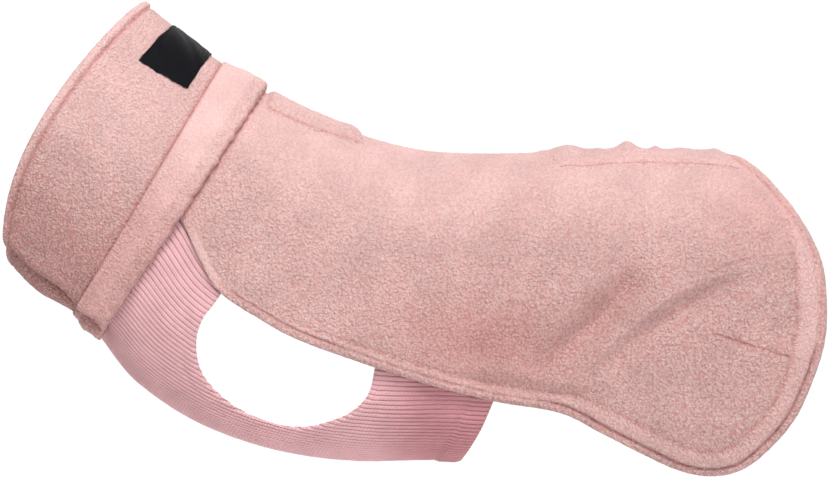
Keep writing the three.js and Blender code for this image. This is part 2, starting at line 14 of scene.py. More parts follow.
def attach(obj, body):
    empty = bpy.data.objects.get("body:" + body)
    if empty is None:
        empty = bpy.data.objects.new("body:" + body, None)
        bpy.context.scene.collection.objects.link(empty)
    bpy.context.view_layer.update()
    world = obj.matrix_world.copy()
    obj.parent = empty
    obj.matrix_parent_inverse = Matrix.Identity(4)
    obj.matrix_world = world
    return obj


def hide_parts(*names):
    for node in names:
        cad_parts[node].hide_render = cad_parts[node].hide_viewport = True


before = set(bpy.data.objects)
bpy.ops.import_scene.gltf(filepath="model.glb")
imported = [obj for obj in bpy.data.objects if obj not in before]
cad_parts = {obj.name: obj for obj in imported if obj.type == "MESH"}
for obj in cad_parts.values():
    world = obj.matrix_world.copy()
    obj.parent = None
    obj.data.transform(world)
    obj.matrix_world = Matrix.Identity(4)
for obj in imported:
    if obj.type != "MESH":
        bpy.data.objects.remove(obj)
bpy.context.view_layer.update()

bl_info = {
    "name": "Dog pullover",
    "version": (1, 0, 0),
    "blender": (4, 5, 0),
    "location": "View3D > Sidebar > Pullover",
    "description": "Makes a fleece and rib-knit dog pullover with its stitching, label and studio",
    "category": "Object",
}

MM = 0.001
DEGREE = math.pi / 180

# ---------------------------------------------------------------- the worn form, millimetres
# One row a ring round the body, from the collar's rim (station 0) to behind the rump (station 13):
# top x and z, bottom x and z, half width, roundness of the upper and lower half, how far the sides bow
# forward, and how much more so low down.
RINGS = np.array([
    (-153.5, 88.5, -233.5, -67.5, 46, 0.95, 0.92, 19.8, 0.32),# rim
    (-127.8, 67.9, -217.5, -84.5, 45, 0.95, 0.92, 9, 0.35),   # collar
    (-106.5, 51.7, -195.8, -97, 44, 0.95, 0.92, -2, 0.2),     # neck seam
    (-81.5, 35, -180, -113, 46, 0.95, 0.95, -2, 0),           # band edge
    (-55.5, 21.2, -158.6, -139.2, 50, 0.95, 1.0, -2, 0),      # shoulder
    (-22, 8.8, -122.3, -163.5, 54, 0.94, 1.0, 0, 0),          # withers
    (12, 0.2, -78.3, -179.6, 56, 0.94, 1.0, 0, 0),            # chest
    (48, -2.0, -30, -186.9, 57, 0.94, 0.95, 0, 0),            # ribs
    (84, -1.6, 25, -186.7, 56, 0.94, 0.85, 0, 0),             # waist
    (120, -1.5, 84, -192, 56, 0.94, 0.75, 0, 0),              # loin
    (160, -1.6, 146, -205, 58, 0.94, 0.65, 0, 0),             # hip
    (200, -2.8, 200, -212, 59, 0.95, 0.6, 0, 0),              # rump
    (233, -10.5, 240, -210, 55, 0.96, 0.65, 0, 0),            # tail
    (263, -22, 268, -204, 46, 0.96, 0.7, 0, 0),               # behind
])
NECK_SEAM = 2.0                 # station where collar and body meet, under the band
COLLAR_END = 2.494              # the collar's cloth runs on this far inside the band
NECK_START = 2.506              # first station of back and chest panels
BAND_EDGE = 3.0
BELLY_END = 8.37                # last station of the rib knit
BELLY_NOTCH = 0.18              # how much further forward it ends under the middle of the belly
NOTCH_SPREAD = 68 * DEGREE

# Soft folds in the side view: a ridge or trough along a bent line from a towards b to c, its half width
# and its height. Side -1 is -Y and side 1 is +Y.
FOLDS = [
    (-1, (126, -54), (112, -74), (90, -97), 7, 3.6),
    (-1, (142, -72), (124, -96), (91, -126), 9.5, -11.5),
    (-1, (236, -66), (164, -68), (112, -126), 6.5, 5.2),
    (-1, (202, -77), (165, -87), (114, -134), 7, -4.6),
    (-1, (188, -90), (196, -96), (200, -106), 6, -0.9),
    (-1, (88, -10), (78, -32), (60, -54), 8, -3.4),
    (-1, (98, -12), (92, -34), (78, -58), 7, 1.8),
    (-1, (47, -5), (36, -17), (12, -29), 7, -2.6),
    (-1, (34, -2), (20, -12), (0, -18), 7, 1.3),
    (-1, (36, -136), (80, -143), (120, -148), 5, -3.0),
    (-1, (-52, -40), (-60, -70), (-50, -92), 12, -1.4),
    (1, (150, -52), (134, -80), (112, -110), 7, -5),
    (1, (228, -62), (164, -72), (128, -120), 6, 3.6),
    (1, (214, -84), (178, -94), (144, -128), 6, -4),
    (1, (80, -14), (70, -36), (50, -60), 8, -3),
    (1, (36, -8), (20, -24), (-2, -38), 8, -2.2),
    (1, (52, -138), (88, -145), (122, -150), 5, -2.4),
]
# Sewn darts that shape the rump, on both sides: narrow grooves with a soft ridge under them, which run
# into the tail hem. Each is a bent line with a half width, a depth, the side that faces the other dart
# and how tightly it is sewn, which sets how dark the painted shade in its groove is.
DARTS = [
    ((252, -129), (210, -118), (178, -107), 1.9, -1.7, 1, 1.0),
    ((252, -64), (206, -58), (175, -78), 1.9, -1.2, -1, 0.55),
]
# The crease on each side of the throat: angle, spread, depth, first and last station.
THROAT_CREASE = (157.5 * DEGREE, 3.4 * DEGREE, 7.0, -0.3, 3.35)
# Gathers along the drawn channel: place on the spine, width and height.
GATHERS = [
    (83, 5, 0.6), (101, 13, 2.6), (118, 4, 0.5), (136, 12, 4.6), (153, 5, 2), (168, 8, 0.9), (190, 10, 2),
]
GATHER_REACH = 20

HEM_OUTLINE = np.array([
    (-138.5, -28), (-128.7, -44), (-118.5, -65.5), (-107, -84.5), (-82.8, -100.7), (-59.5, -113.2),
    (-17.5, -128.4), (20, -140.5), (56.5, -149.7), (95, -156.5), (119, -168.3), (142, -180),
    (166, -190.8), (186, -194), (202, -190.3), (213, -183),
])
TAIL_OUTLINE = np.array([
    (203, -4.4), (214.5, -13), (226, -25.5), (237, -40), (248.8, -63.5), (252.4, -89.5), (250.4, -117),
    (238.4, -150.5), (227, -168.5), (213, -183),
])
ARMHOLE_OUTLINE = np.array([
    (-101.5, -79), (-110, -91.5), (-117.5, -102), (-121, -116), (-117.5, -134), (-103, -150.5),
    (-84, -161), (-60, -166.2), (-34, -159.5), (-19.5, -147), (-15, -131), (-14, -120),
])

FLEECE = 2.0                    # one layer of fleece
RIB_KNIT = 1.3                  # rib knit, ridge to back
THINNEST = 0.12                 # wall at a rounded cloth edge
SEAM_GAP = 0.3                  # between pieces that are sewn together
BAND_GAP = 0.6
PILE_SPREAD = 3.2               # across one unevenness of the fleece's face
HEM_WIDTH = 9.5                 # the back's turned hem under the chest, edge to its inner stitches
HEM_GROOVE = 5.0                # and to its outer stitches, beside the rolled edge
HEM_ROLL = 1.15                 # how far the back's rolled edge stands over the single cloth
RIM_ROLL = 1.3                  # and the collar's turned rim
STITCH_SINK = 0.8               # how far a row of stitches pulls the cloth in
RIM_HEM_WIDTH = 6.0
COLLAR_HEIGHT = 56.0
BAND_SWELL = 4.6
PLACKET = (-79.6, -24)          # first and last x of the placket, half its width and its thickness
PLACKET_HALF = 24.0
PLACKET_THICKNESS = 3.4
CHANNEL = (80.5, 194)           # first and last x of the channel, half its width
CHANNEL_HALF = 31.0
CHANNEL_SWAY = ((80, 100, 120, 143, 165, 182, 194), (1.08, 1.07, 0.97, 0.93, 0.97, 1.04, 1.12))
STRIP_SEAM = 2.2                # from a strip's edge to its row of stitches
LABEL_FROM = 9.0                # from here the collar's rings are counted in eighths of the way down
LABEL_RINGS = (1.4, 5)          # the label's upper and lower edge
LABEL_FLAT = (34, 30)           # half the label's width and its height, as its weave counts them
RIB_UNDERLAP = 9.0              # how far the rib knit runs on under the back's hem
BORDER_REACH = 6                # how far a point of its cut edge may move to lie on the outline
RIBS_ROUND = 84
RIB_SIDE = (82 * DEGREE, 93 * DEGREE)   # where its ribs start at the neck, and from the armholes on
SIDE_RIB = (2.9, 1.85)          # how much wider a rib is there than under the belly, at the same places
KNIT_FLAT = (2.8, 210.0)        # width of one rib and length of the panel on the flat cloth
BELLY_HEM = 16.0                # turned hem at the belly's end
SELF_HEM = 8.5                  # turned hem round the armholes
HEM_DOUBLE = 0.7                # how much thicker these two hems are
FAR_SIDE_OPEN = 1.036           # how much further out the far side's edges lie, away from
FAR_SIDE_FROM = (8.7, -53.4)    # this place of the side view, which the camera faces
CAMERA_AWAY = 3200              # from the middle of the garment
SEEN_ACROSS = 497.4             # what the camera takes in there from side to side


# ---------------------------------------------------------------- small maths
def mix(a, b, share):
    """From a to b."""
    return a + (b - a) * share


def ease(share):
    """From 0 to 1, with a soft start and end."""
    t = np.clip(share, 0, 1)
    return t * t * (3 - 2 * t)


def bell(distance, width):
    """A soft bump, 1 in its middle."""
    return np.exp(-((distance / width) ** 2))


def past(angle, degrees, over):
    """From 0 to 1 as an angle, on either side, goes past so many degrees, over so many more."""
    return ease((np.abs(angle) / DEGREE - degrees) / over)


def half_turned(angle):
    """Angles round a ring, counted up to half a turn on either side of the spine."""
    return np.where(angle > math.pi, angle - 2 * math.pi, angle)


def steps_along(points):
    """Lengths of the steps of a line of points."""
    return np.linalg.norm(np.diff(points, axis=0), axis=1)


def walked(steps):
    """How far along a line each of its points is."""
    return np.concatenate([[0], np.cumsum(steps)])


def smooth_rows(rows, at):
    """The values of a table at fractional rows, on a smooth curve through its rows."""
    at = np.asarray(at, dtype=float)
    last = len(rows) - 1
    i = np.clip(np.floor(at).astype(int), 0, last - 1)
    t = (at - i)[..., None]
    value = [rows[np.clip(i + k, 0, last)] for k in (-1, 0, 1, 2)]
    before = (value[2] - value[0]) / 2
    after = (value[3] - value[1]) / 2
    rise = value[2] - value[1]
    return value[1] + t * (before + t * (3 * rise - 2 * before - after + t * (before + after - 2 * rise)))


def wobble(t, seed, waves=5):
    """A smooth, even, irregular wave between about -1 and 1."""
    rng = np.random.default_rng(seed)
    total = np.zeros_like(np.asarray(t, dtype=float))
    for k in range(waves):
        turns = t * (1 + 0.9 * k + 0.6 * rng.random())
        total += np.sin(turns + 2 * math.pi * rng.random()) / (1 + 0.35 * k)
    return total / 2.4


# ---------------------------------------------------------------- points on the form
def side_view(station, down):
    """Where a ring's point stands in the side view, for the share of its way down."""
    ring = smooth_rows(RINGS, station)
    top_x, top_z, bottom_x, bottom_z = (ring[..., k] for k in range(4))
    along_x = bottom_x - top_x
    along_z = bottom_z - top_z
    share = np.clip(down, 0, 1)
    bulge = (4 * share * (1 - share)) ** 0.75 * (1 + ring[..., 8] * (2 * share - 1))
    forward = ring[..., 7] * bulge / np.hypot(along_x, along_z)
    return top_x + along_x * down + along_z * forward, top_z + along_z * down - along_x * forward


def form_point(station, angle):
    """Points of the form, for stations along the body and angles from the spine."""
    station, angle = np.broadcast_arrays(np.asarray(station, float), np.asarray(angle, float))
    ring = smooth_rows(RINGS, station)
    x, z = side_view(station, (1 - np.cos(angle)) / 2)
    turn = np.sin(angle)
    roundness = np.where(np.cos(angle) > 0, ring[..., 5], ring[..., 6])
    y = np.sign(turn) * ring[..., 4] * np.abs(turn) ** roundness
    return np.stack([x, y, z], axis=-1)


def form_normal(station, angle):
    """Directions out from the form."""
    step = 0.02
    along = form_point(station + step, angle) - form_point(station - step, angle)
    round_ = form_point(station, angle + step) - form_point(station, angle - step)
    normal = np.cross(along, round_)
    return normal / np.linalg.norm(normal, axis=-1, keepdims=True)


def locate(x, z):
    """The stations and angles of the form's points at these places of the side view."""
    s, d = np.meshgrid(np.arange(0, len(RINGS) - 0.9, 0.5), np.linspace(0, 1, 11))
    px, pz = side_view(s.ravel(), d.ravel())
    nearest = np.argmin(np.hypot(x[:, None] - px, z[:, None] - pz), axis=1)
    station = s.ravel()[nearest].astype(float)
    down = d.ravel()[nearest].astype(float)
    step = 1e-4
    for _ in range(14):
        px, pz = side_view(station, down)
        sx, sz = ((v - p) / step for v, p in zip(side_view(station + step, down), (px, pz)))
        dx, dz = ((v - p) / step for v, p in zip(side_view(station, down + step), (px, pz)))
        ex, ez = x - px, z - pz
        size = sx * dz - sz * dx
        station = station + (ex * dz - ez * dx) / size
        down = np.clip(down + (sx * ez - sz * ex) / size, 0, 1)
    return station, np.arccos(1 - 2 * down)


def line_distance(x, z, line):
    """How far points of the side view lie from a line of points, and how far along it their nearest is."""
    best = np.full(x.shape, np.inf)
    share = np.zeros(x.shape)
    steps = len(line) - 1
    for k in range(steps):
        (ax, az), (bx, bz) = line[k], line[k + 1]
        lx, lz = bx - ax, bz - az
        t = np.clip(((x - ax) * lx + (z - az) * lz) / (lx * lx + lz * lz), 0, 1)
        far = np.hypot(x - ax - t * lx, z - az - t * lz)
        closer = far < best
        best = np.where(closer, far, best)
        share = np.where(closer, (k + t) / steps, share)
    return best, share


def bent_line(a, b, c):
    """Points along a curve that leaves a towards b and ends at c."""
    t = np.linspace(0, 1, 17)[:, None]
    return (1 - t) ** 2 * np.array(a) + 2 * t * (1 - t) * np.array(b) + t ** 2 * np.array(c)


def throat_crease(station, angle):
    """How deep in the throat's crease a place lies, from 0 to 1, and how far round from it."""
    crease, spread, _, first, last = THROAT_CREASE
    ends = ease((station - first) / 0.8) * ease((last - station) / 0.8)
    off = np.abs(angle) - crease - 9 * DEGREE * bell(station - 2.05, 0.42)
    return ends * np.exp(-np.abs(off / spread) ** 1.5), ends, off


def fold_lift(station, angle):
    """How far the folds, the throat's crease and the gathers move the cloth out from the form."""
    p = form_point(station, angle)
    x, y, z = p[..., 0], p[..., 1], p[..., 2]
    lift = np.zeros(x.shape)
    for side, a, b, c, width, height in FOLDS:
        low = np.minimum(np.minimum(a, b), c) - 3 * width
        high = np.maximum(np.maximum(a, b), c) + 3 * width
        near = (np.sign(y) == side) & (x > low[0]) & (x < high[0]) & (z > low[1]) & (z < high[1])
        if not near.any():
            continue
        distance, share = line_distance(x[near], z[near], bent_line(a, b, c))
        taper = 0.35 + 0.65 * np.sin(math.pi * share) ** 0.7
        lift[near] += height * taper * bell(distance, width) * ease(np.abs(y[near]) / 14)
    crease, ends, off = throat_crease(station, angle)
    deeper = 0.75 + 0.4 * bell(station - 1.4, 0.4) + 0.6 * bell(station - 2.4, 0.45)
    lift -= THROAT_CREASE[2] * deeper * crease
    lift += 1.4 * ends * bell(off + 9 * DEGREE, 5 * DEGREE)
    upper = np.abs(angle) < math.pi / 2
    for place, width, height in GATHERS:
        lift += upper * height * ease(1 - np.abs(y) / GATHER_REACH) * bell(x - place, width / 2)
    return lift


def cloth_point(station, angle, out):
    """Points of the cloth, so many millimetres outside the folded form."""
    lift = out + fold_lift(station, angle)
    return form_point(station, angle) + form_normal(station, angle) * lift[..., None]


def outline_curve(rows):
    """A smooth curve through side-view points, walked by its share of the length."""
    samples = smooth_rows(rows.astype(float), np.linspace(0, len(rows) - 1, (len(rows) - 1) * 24 + 1))
    length = walked(np.hypot(*np.diff(samples, axis=0).T))

    def at(share):
        wanted = np.clip(share, 0, 1) * length[-1]
        return np.stack([np.interp(wanted, length, samples[:, k]) for k in (0, 1)], axis=-1)
    return at


def rim_station(distance):
    """The station at a distance from the collar's rim."""
    return distance / COLLAR_HEIGHT * NECK_SEAM


def placed_curve(rows):
    """Stations and angles along an outline, by its share of the length."""
    shares = np.linspace(0, 1, 361)
    places = outline_curve(rows)(shares)
    station, angle = locate(places[:, 0], places[:, 1])

    def at(share):
        return np.interp(share, shares, station), np.interp(share, shares, angle)
    return at


def rim_height(distance):
    """Height of the collar's turned rim at a distance from its edge: a double roll, then a sewn groove."""
    roll = RIM_ROLL * ease((RIM_HEM_WIDTH - distance) / 1.6)
    return roll - STITCH_SINK * bell(distance - RIM_HEM_WIDTH - 0.3, 0.9)


def hem_reach(x, z):
    """How wide the back's turned hem is: wider round the rump, narrow again up at the tail."""
    reach = HEM_WIDTH + 6.5 * ease((x - 78) / 55) + 3.5 * ease((x - 218) / 22) * ease((z + 150) / 40)
    return mix(reach, 9.0, ease((z + 78) / 45) * ease((x - 150) / 40))


def groove_depth(x, z):
    """How deep the groove beside the rolled edge is: it fades under the flank and round the rump."""
    at_rump = 1 - 0.75 * ease((x - 208) / 15) * ease((z + 128) / 16) * ease((-32 - z) / 12)
    at_flank = 1 - 0.8 * ease((x + 45) / 20) * ease((98 - x) / 25)
    return at_rump * at_flank


def back_hem_height(distance, reach, ridge, deep):
    """Height of the back's hem: a rolled edge, a stitched groove, and a ridge of turned cloth inside it."""
    roll = HEM_ROLL * ease((4.9 - distance) / 1.5)
    groove = deep * bell(distance - HEM_GROOVE, 0.75)
    inside = ease((distance - HEM_GROOVE) / 2.2) * ease((reach - distance) / 4)
    one_roll = (1 - deep) * 1.3 * ease((reach - distance) / 3.5) * ease(distance / 3)
    return roll - 0.95 * groove + one_roll + ridge * (1.5 * inside - 0.7 * bell(distance - reach, 1.6))


def edge_turn(distance, thick):
    """How far in the outer face has turned at a distance from a cloth edge, as a half round."""
    radius = thick / 2
    inside = np.clip(1 - distance / radius, 0, 1)
    return radius * (1 - np.sqrt(1 - inside ** 2))


# ---------------------------------------------------------------- the back panel's cut
HEM_AT = placed_curve(HEM_OUTLINE)
TAIL_AT = placed_curve(TAIL_OUTLINE)


def cut_at(along, down):
    """Station and angle of the cut's point, blended between its four edges."""
    low_station, low_angle = HEM_AT(along)
    rear_station, rear_angle = TAIL_AT(down)
    start = HEM_AT(0.0)
    end = TAIL_AT(0.0)
    corner = TAIL_AT(1.0)
    spine = mix(NECK_START, end[0], along)
    seam_to_tail = mix(NECK_START, rear_station, along)
    corners = mix(spine, mix(NECK_START, corner[0], along), down)
    from_neck = mix(start[1] * down, rear_angle, along)
    station = np.maximum(NECK_START, mix(spine, low_station, down) + seam_to_tail - corners)
    angle = low_angle * down + from_neck - mix(start[1], corner[1], along) * down
    return station, np.where(down > 0, angle, 0.0)


def walked_length(along, down):
    """Length of the path through the cut's points, on the form."""
    return steps_along(form_point(*cut_at(along, down))).sum()


# Distances from the edge of the rows that shape a hem, from the inside out: the back's and the rim's.
HEM_STEPS = np.array([
    13.6, 12.4, 11.2, 10.0, 8.8, 7.6, 6.7, 6.0, 5.5, 5.0, 4.5, 4.0, 3.4, 2.7, 2.0, 1.3, 0.8, 0.4, 0.15, 0.0,
])
RIM_STEPS = np.array([
    9.5, 8.6, 7.8, 7.2, 6.7, 6.3, 5.9, 5.3, 4.6, 3.8, 3.0, 2.2, 1.5, 0.9, 0.45, 0.15, 0.0,
])
PANEL_BODY_ROWS = 186
PANEL_BODY_COLUMNS = 92


def panel_cut():
    """Stations and angles of one side of the panel's grid: rows from the neck, columns from the spine."""
    columns = PANEL_BODY_COLUMNS + len(HEM_STEPS)
    rows = PANEL_BODY_ROWS + len(HEM_STEPS)
    walk = np.linspace(0, 1, 40)
    along = np.zeros((rows, columns))
    for j in range(columns):
        share = j / (columns - 1)
        hem = 1 - HEM_STEPS / walked_length(walk, np.full(40, share))
        along[:, j] = np.concatenate([np.linspace(0, hem[0], PANEL_BODY_ROWS, endpoint=False), hem])
    down = np.zeros((rows, columns))
    for i in range(rows):
        hem = 1 - HEM_STEPS / walked_length(np.full(40, along[i, 0]), walk)
        down[i] = np.concatenate([np.linspace(0, hem[0], PANEL_BODY_COLUMNS, endpoint=False), hem])
    return cut_at(along, down)


def panel_edge():
    """Points along the panel's free edge, from the neck along the hem and up the tail to the spine."""
    share = np.linspace(0, 1, 700)
    hem = form_point(*HEM_AT(share))
    tail = form_point(*TAIL_AT(share[::-1]))
    return np.concatenate([hem, tail[1:]])


def edge_distance(points, line):
    """Distances of points from a line of points in space."""
    tree = KDTree(len(line))
    for k, point in enumerate(line):
        tree.insert(point, k)
    tree.balance()
    flat = points.reshape(-1, 3)
    nearest = np.array([tree.find(p)[1] for p in flat])
    best = np.full(len(flat), np.inf)
    for first in (np.clip(nearest - 1, 0, len(line) - 2), np.clip(nearest, 0, len(line) - 2)):
        a, step = line[first], line[first + 1] - line[first]
        t = np.clip(((flat - a) * step).sum(1) / (step * step).sum(1), 0, 1)
        best = np.minimum(best, np.linalg.norm(flat - a - step * t[:, None], axis=1))
    return best.reshape(points.shape[:-1])


# ---------------------------------------------------------------- making pieces
def deselect():
    """Leaves edit mode and selects nothing."""
    if bpy.context.object and bpy.context.object.mode != "OBJECT":
        bpy.ops.object.mode_set(mode="OBJECT")
    bpy.ops.object.select_all(action="DESELECT")


def pick(piece):
    """Makes a piece the only one that is selected, and the active one."""
    deselect()
    piece.select_set(True)
    bpy.context.view_layer.objects.active = piece


def edit(piece, *steps):
    """Runs edit-mode steps on all of a piece's mesh."""
    pick(piece)
    bpy.ops.object.mode_set(mode="EDIT")
    bpy.ops.mesh.select_all(action="SELECT")
    for step in steps:
        step()
    bpy.ops.object.mode_set(mode="OBJECT")


def place_points(piece, points):
    """Moves a piece's points to places in millimetres."""
    piece.data.vertices.foreach_set("co", (points * MM).astype(np.float32).ravel())
    piece.data.update()


def name_piece(name):
    """The new piece, under its name, and its points as they were made."""
    piece = bpy.context.object
    piece.name = name
    piece.data.name = name
    at = np.zeros(len(piece.data.vertices) * 3)
    piece.data.vertices.foreach_get("co", at)
    return piece, at.reshape(-1, 3)


def cloth_grid(name, rows, columns):
    """A grid primitive of rows along the body and columns round it, and each point's row and column."""
    deselect()
    bpy.ops.mesh.primitive_grid_add(x_subdivisions=rows, y_subdivisions=columns, size=2)
    piece, at = name_piece(name)
    at = (at + 1) / 2
    row = np.rint(at[:, 0] * rows).astype(int)
    column = np.rint(at[:, 1] * columns).astype(int)
    return piece, row, column


def corner_points(mesh):
    """The point at each face corner of a mesh."""
    corner = np.zeros(len(mesh.loops), dtype=np.int32)
    mesh.loops.foreach_get("vertex_index", corner)
    return corner


def set_uv(piece, u, v):
    """Gives a piece's points a place on the flat cloth, in metres."""
    mesh = piece.data
    corner = corner_points(mesh)
    uv = np.stack([u[corner], v[corner]], axis=-1) * MM
    layer = mesh.uv_layers[0] if mesh.uv_layers else mesh.uv_layers.new(name="UVMap")
    layer.data.foreach_set("uv", uv.astype(np.float32).ravel())


def set_values(piece, **layers):
    """Keeps numbers at each point of a piece for its material."""
    for name, values in layers.items():
        layer = piece.data.attributes.new(name, "FLOAT", "POINT")
        layer.data.foreach_set("value", np.asarray(values, dtype=np.float32))


def give_wall(piece):
    """Gives a sheet its wall, inwards, as thick in mm as its 'thickness' value says at each point."""
    layer = piece.data.attributes["thickness"]
    thickness = np.zeros(len(layer.data), dtype=np.float32)
    layer.data.foreach_get("value", thickness)
    piece.data.attributes.remove(layer)
    most = float(thickness.max())
    weights = np.rint(np.clip(thickness / most, 0, 1) * 200).astype(int)
    group = piece.vertex_groups.new(name="wall")
    for step in np.unique(weights):
        group.add(np.flatnonzero(weights == step).tolist(), step / 200, "REPLACE")
    wall = piece.modifiers.new("wall", "SOLIDIFY")
    wall.thickness = most * MM
    wall.offset = -1
    wall.use_rim = True
    wall.vertex_group = group.name
    pick(piece)
    bpy.ops.object.modifier_apply(modifier=wall.name)
    piece.vertex_groups.clear()


def delete_faces(piece, gone):
    """Deletes the faces that are marked."""
    edit(piece, lambda: bpy.ops.mesh.select_all(action="DESELECT"),
         lambda: bpy.ops.mesh.select_mode(type="FACE"))
    piece.data.polygons.foreach_set("select", gone)
    bpy.ops.object.mode_set(mode="EDIT")
    bpy.ops.mesh.delete(type="FACE")
    bpy.ops.object.mode_set(mode="OBJECT")


def ruffle(piece, height):
    """Makes a cloth's faces slightly uneven, as its pile is."""
    clouds = bpy.data.textures.new(piece.name + "_pile", "CLOUDS")
    clouds.noise_scale = PILE_SPREAD * MM
    clouds.noise_depth = 1
    pile = piece.modifiers.new("pile", "DISPLACE")
    pile.texture = clouds
    pile.texture_coords = "LOCAL"
    pile.strength = height * MM
    pile.mid_level = 0.5
    pick(piece)
    bpy.ops.object.modifier_apply(modifier=pile.name)
    bpy.data.textures.remove(clouds)


def finish_piece(piece, material, slot, *replaced):
    """Gives a piece its material and smooth faces, hangs it on the frame's root, and hides the frame's parts
    it stands in for.
    """
    piece.data.materials.clear()
    piece.data.materials.append(material)
    pick(piece)
    bpy.ops.object.shade_smooth()
    bpy.ops.object.shade_smooth_by_angle(angle=60 * DEGREE)
    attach(piece, "root")
    if replaced:
        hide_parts(*replaced)


# ---------------------------------------------------------------- node groups and materials
def new_group(name, inputs, outputs):
    """A node group, and short ways to its nodes, its inputs and its outputs."""
    group = bpy.data.node_groups.new(name, "ShaderNodeTree")
    for label, kind, default in inputs:
        socket = group.interface.new_socket(name=label, in_out="INPUT", socket_type=kind)
        if default is not None:
            socket.default_value = default
    for label, kind in outputs:
        group.interface.new_socket(name=label, in_out="OUTPUT", socket_type=kind)
    n = Nodes(group)
    return group, n, n.add("NodeGroupInput").outputs, n.add("NodeGroupOutput").inputs


class Nodes:
    """A node tree with short ways to add and join nodes."""

    def __init__(self, tree):
        self.tree = tree

    def add(self, kind, **settings):
        """A new node with these settings."""
        node = self.tree.nodes.new(kind)
        for key, value in settings.items():
            setattr(node, key, value)
        return node

    def feed(self, socket, value):
        """Joins a socket to another, or sets its value."""
        if isinstance(value, bpy.types.NodeSocket):
            self.tree.links.new(value, socket)
        elif value is not None:
            socket.default_value = value

    def fill(self, node, **values):
        """Feeds a node's inputs by name, with _ for a space, and returns its outputs."""
        for name, value in values.items():
            self.feed(node.inputs[name.replace("_", " ")], value)
        return node.outputs

    def value(self, name):
        """A number kept at each point of the mesh."""
        node = self.add("ShaderNodeAttribute", attribute_name=name, attribute_type="GEOMETRY")
        return node.outputs["Fac"]

    def place(self):
        """The place in the object's own axes."""
        return self.add("ShaderNodeTexCoord").outputs["Object"]

    def noise(self, where, scale, detail=2.0, roughness=0.5):
        """The outputs of a noise."""
        node = self.add("ShaderNodeTexNoise")
        return self.fill(node, Vector=where, Scale=scale, Detail=detail, Roughness=roughness)

    def bump(self, height, distance, strength=1.0):
        """A normal from a height."""
        node = self.add("ShaderNodeBump")
        return self.fill(node, Strength=strength, Distance=distance, Height=height)["Normal"]

    def mottle(self, colour, tone):
        """A colour made lighter and darker by a tone."""
        grey = self.add("ShaderNodeCombineColor")
        for socket in grey.inputs:
            self.feed(socket, tone)
        return self.blend(1.0, colour, grey.outputs[0], "MULTIPLY")

    def near_zero(self, value, reach, most):
        """From most, where a value is 0, down to 0 at a distance on either side."""
        return self.remap(self.maths("ABSOLUTE", value), 0.0, reach, most, 0.0)

    def maths(self, operation, *values):
        """Maths on numbers."""
        node = self.add("ShaderNodeMath", operation=operation)
        for socket, value in zip(node.inputs, values):
            self.feed(socket, value)
        return node.outputs[0]

    def mixed(self, factor, first, second):
        """Two shaders mixed."""
        node = self.add("ShaderNodeMixShader")
        for socket, value in zip(node.inputs, (factor, first, second)):
            self.feed(socket, value)
        return node.outputs[0]

    def vector(self, operation, first, second):
        """Vector maths. SCALE takes a number as its second value."""
        node = self.add("ShaderNodeVectorMath", operation=operation)
        self.feed(node.inputs[0], first)
        self.feed(node.inputs["Scale" if operation == "SCALE" else 1], second)
        return node.outputs[0]

    def remap(self, value, low, high, to_low=0.0, to_high=1.0, smooth=True):
        """A number carried from one range into another."""
        node = self.add("ShaderNodeMapRange")
        node.interpolation_type = "SMOOTHSTEP" if smooth else "LINEAR"
        for socket, number in zip(node.inputs, (value, low, high, to_low, to_high)):
            self.feed(socket, number)
        return node.outputs[0]

    def blend(self, factor, a, b, how="MIX"):
        """Two colours blended."""
        node = self.add("ShaderNodeMix", data_type="RGBA", blend_type=how)
        self.feed(node.inputs[0], factor)
        for socket, value in ((node.inputs[6], a), (node.inputs[7], b)):
            self.feed(socket, (*value, 1.0) if isinstance(value, tuple) and len(value) == 3 else value)
        return node.outputs[2]


def nap_group():
    """Pebbled pile: small curled nubs, a mask of the gaps between them that the material darkens with
    painted shade, and slow patches of tone.
    """
    if "fleece_nap" in bpy.data.node_groups:
        return bpy.data.node_groups["fleece_nap"]
    group, n, inp, out = new_group("fleece_nap", [
        ("Vector", "NodeSocketVector", None),
        ("Nub Size", "NodeSocketFloat", 0.0016),
        ("Pile", "NodeSocketFloat", 1.0),
    ], [("Height", "NodeSocketFloat"), ("Gap", "NodeSocketFloat"), ("Patch", "NodeSocketFloat")])
    scale = n.maths("DIVIDE", 1.0, inp["Nub Size"])
    warp = n.noise(inp["Vector"], n.maths("MULTIPLY", scale, 0.7), 1.0)["Color"]
    shift = n.vector("SUBTRACT", warp, (0.5, 0.5, 0.5))
    grow = n.vector("SCALE", shift, n.maths("MULTIPLY", inp["Nub Size"], 1.1))
    moved = n.vector("ADD", inp["Vector"], grow)
    nubs = n.fill(n.add("ShaderNodeTexVoronoi", feature="SMOOTH_F1"),
                  Vector=moved, Scale=scale, Smoothness=0.35)["Distance"]
    curls = n.fill(n.add("ShaderNodeTexVoronoi", feature="F1"),
                   Vector=moved, Scale=n.maths("MULTIPLY", scale, 2.1))["Distance"]
    fibre = n.noise(inp["Vector"], n.maths("MULTIPLY", scale, 1.1), 3.0, 0.7)["Fac"]
    nub = n.maths("SUBTRACT", 1.0, n.maths("MULTIPLY", nubs, 1.1))
    curl = n.maths("SUBTRACT", 1.0, curls)
    height = n.maths("ADD", n.maths("MULTIPLY", nub, 0.5), n.maths("MULTIPLY", curl, 0.2))
    height = n.maths("ADD", height, n.maths("MULTIPLY", fibre, 0.5))
    n.feed(out["Height"], n.maths("MULTIPLY", height, inp["Pile"]))
    gap = n.remap(height, 0.42, 0.80, 1.0, 0.0, smooth=False)
    gap = n.maths("MULTIPLY", n.maths("SUBTRACT", gap, 0.3), inp["Pile"])
    n.feed(out["Gap"], n.maths("ADD", gap, 0.3))
    n.feed(out["Patch"], n.noise(inp["Vector"], 42.0, 3.0)["Fac"])
    return group


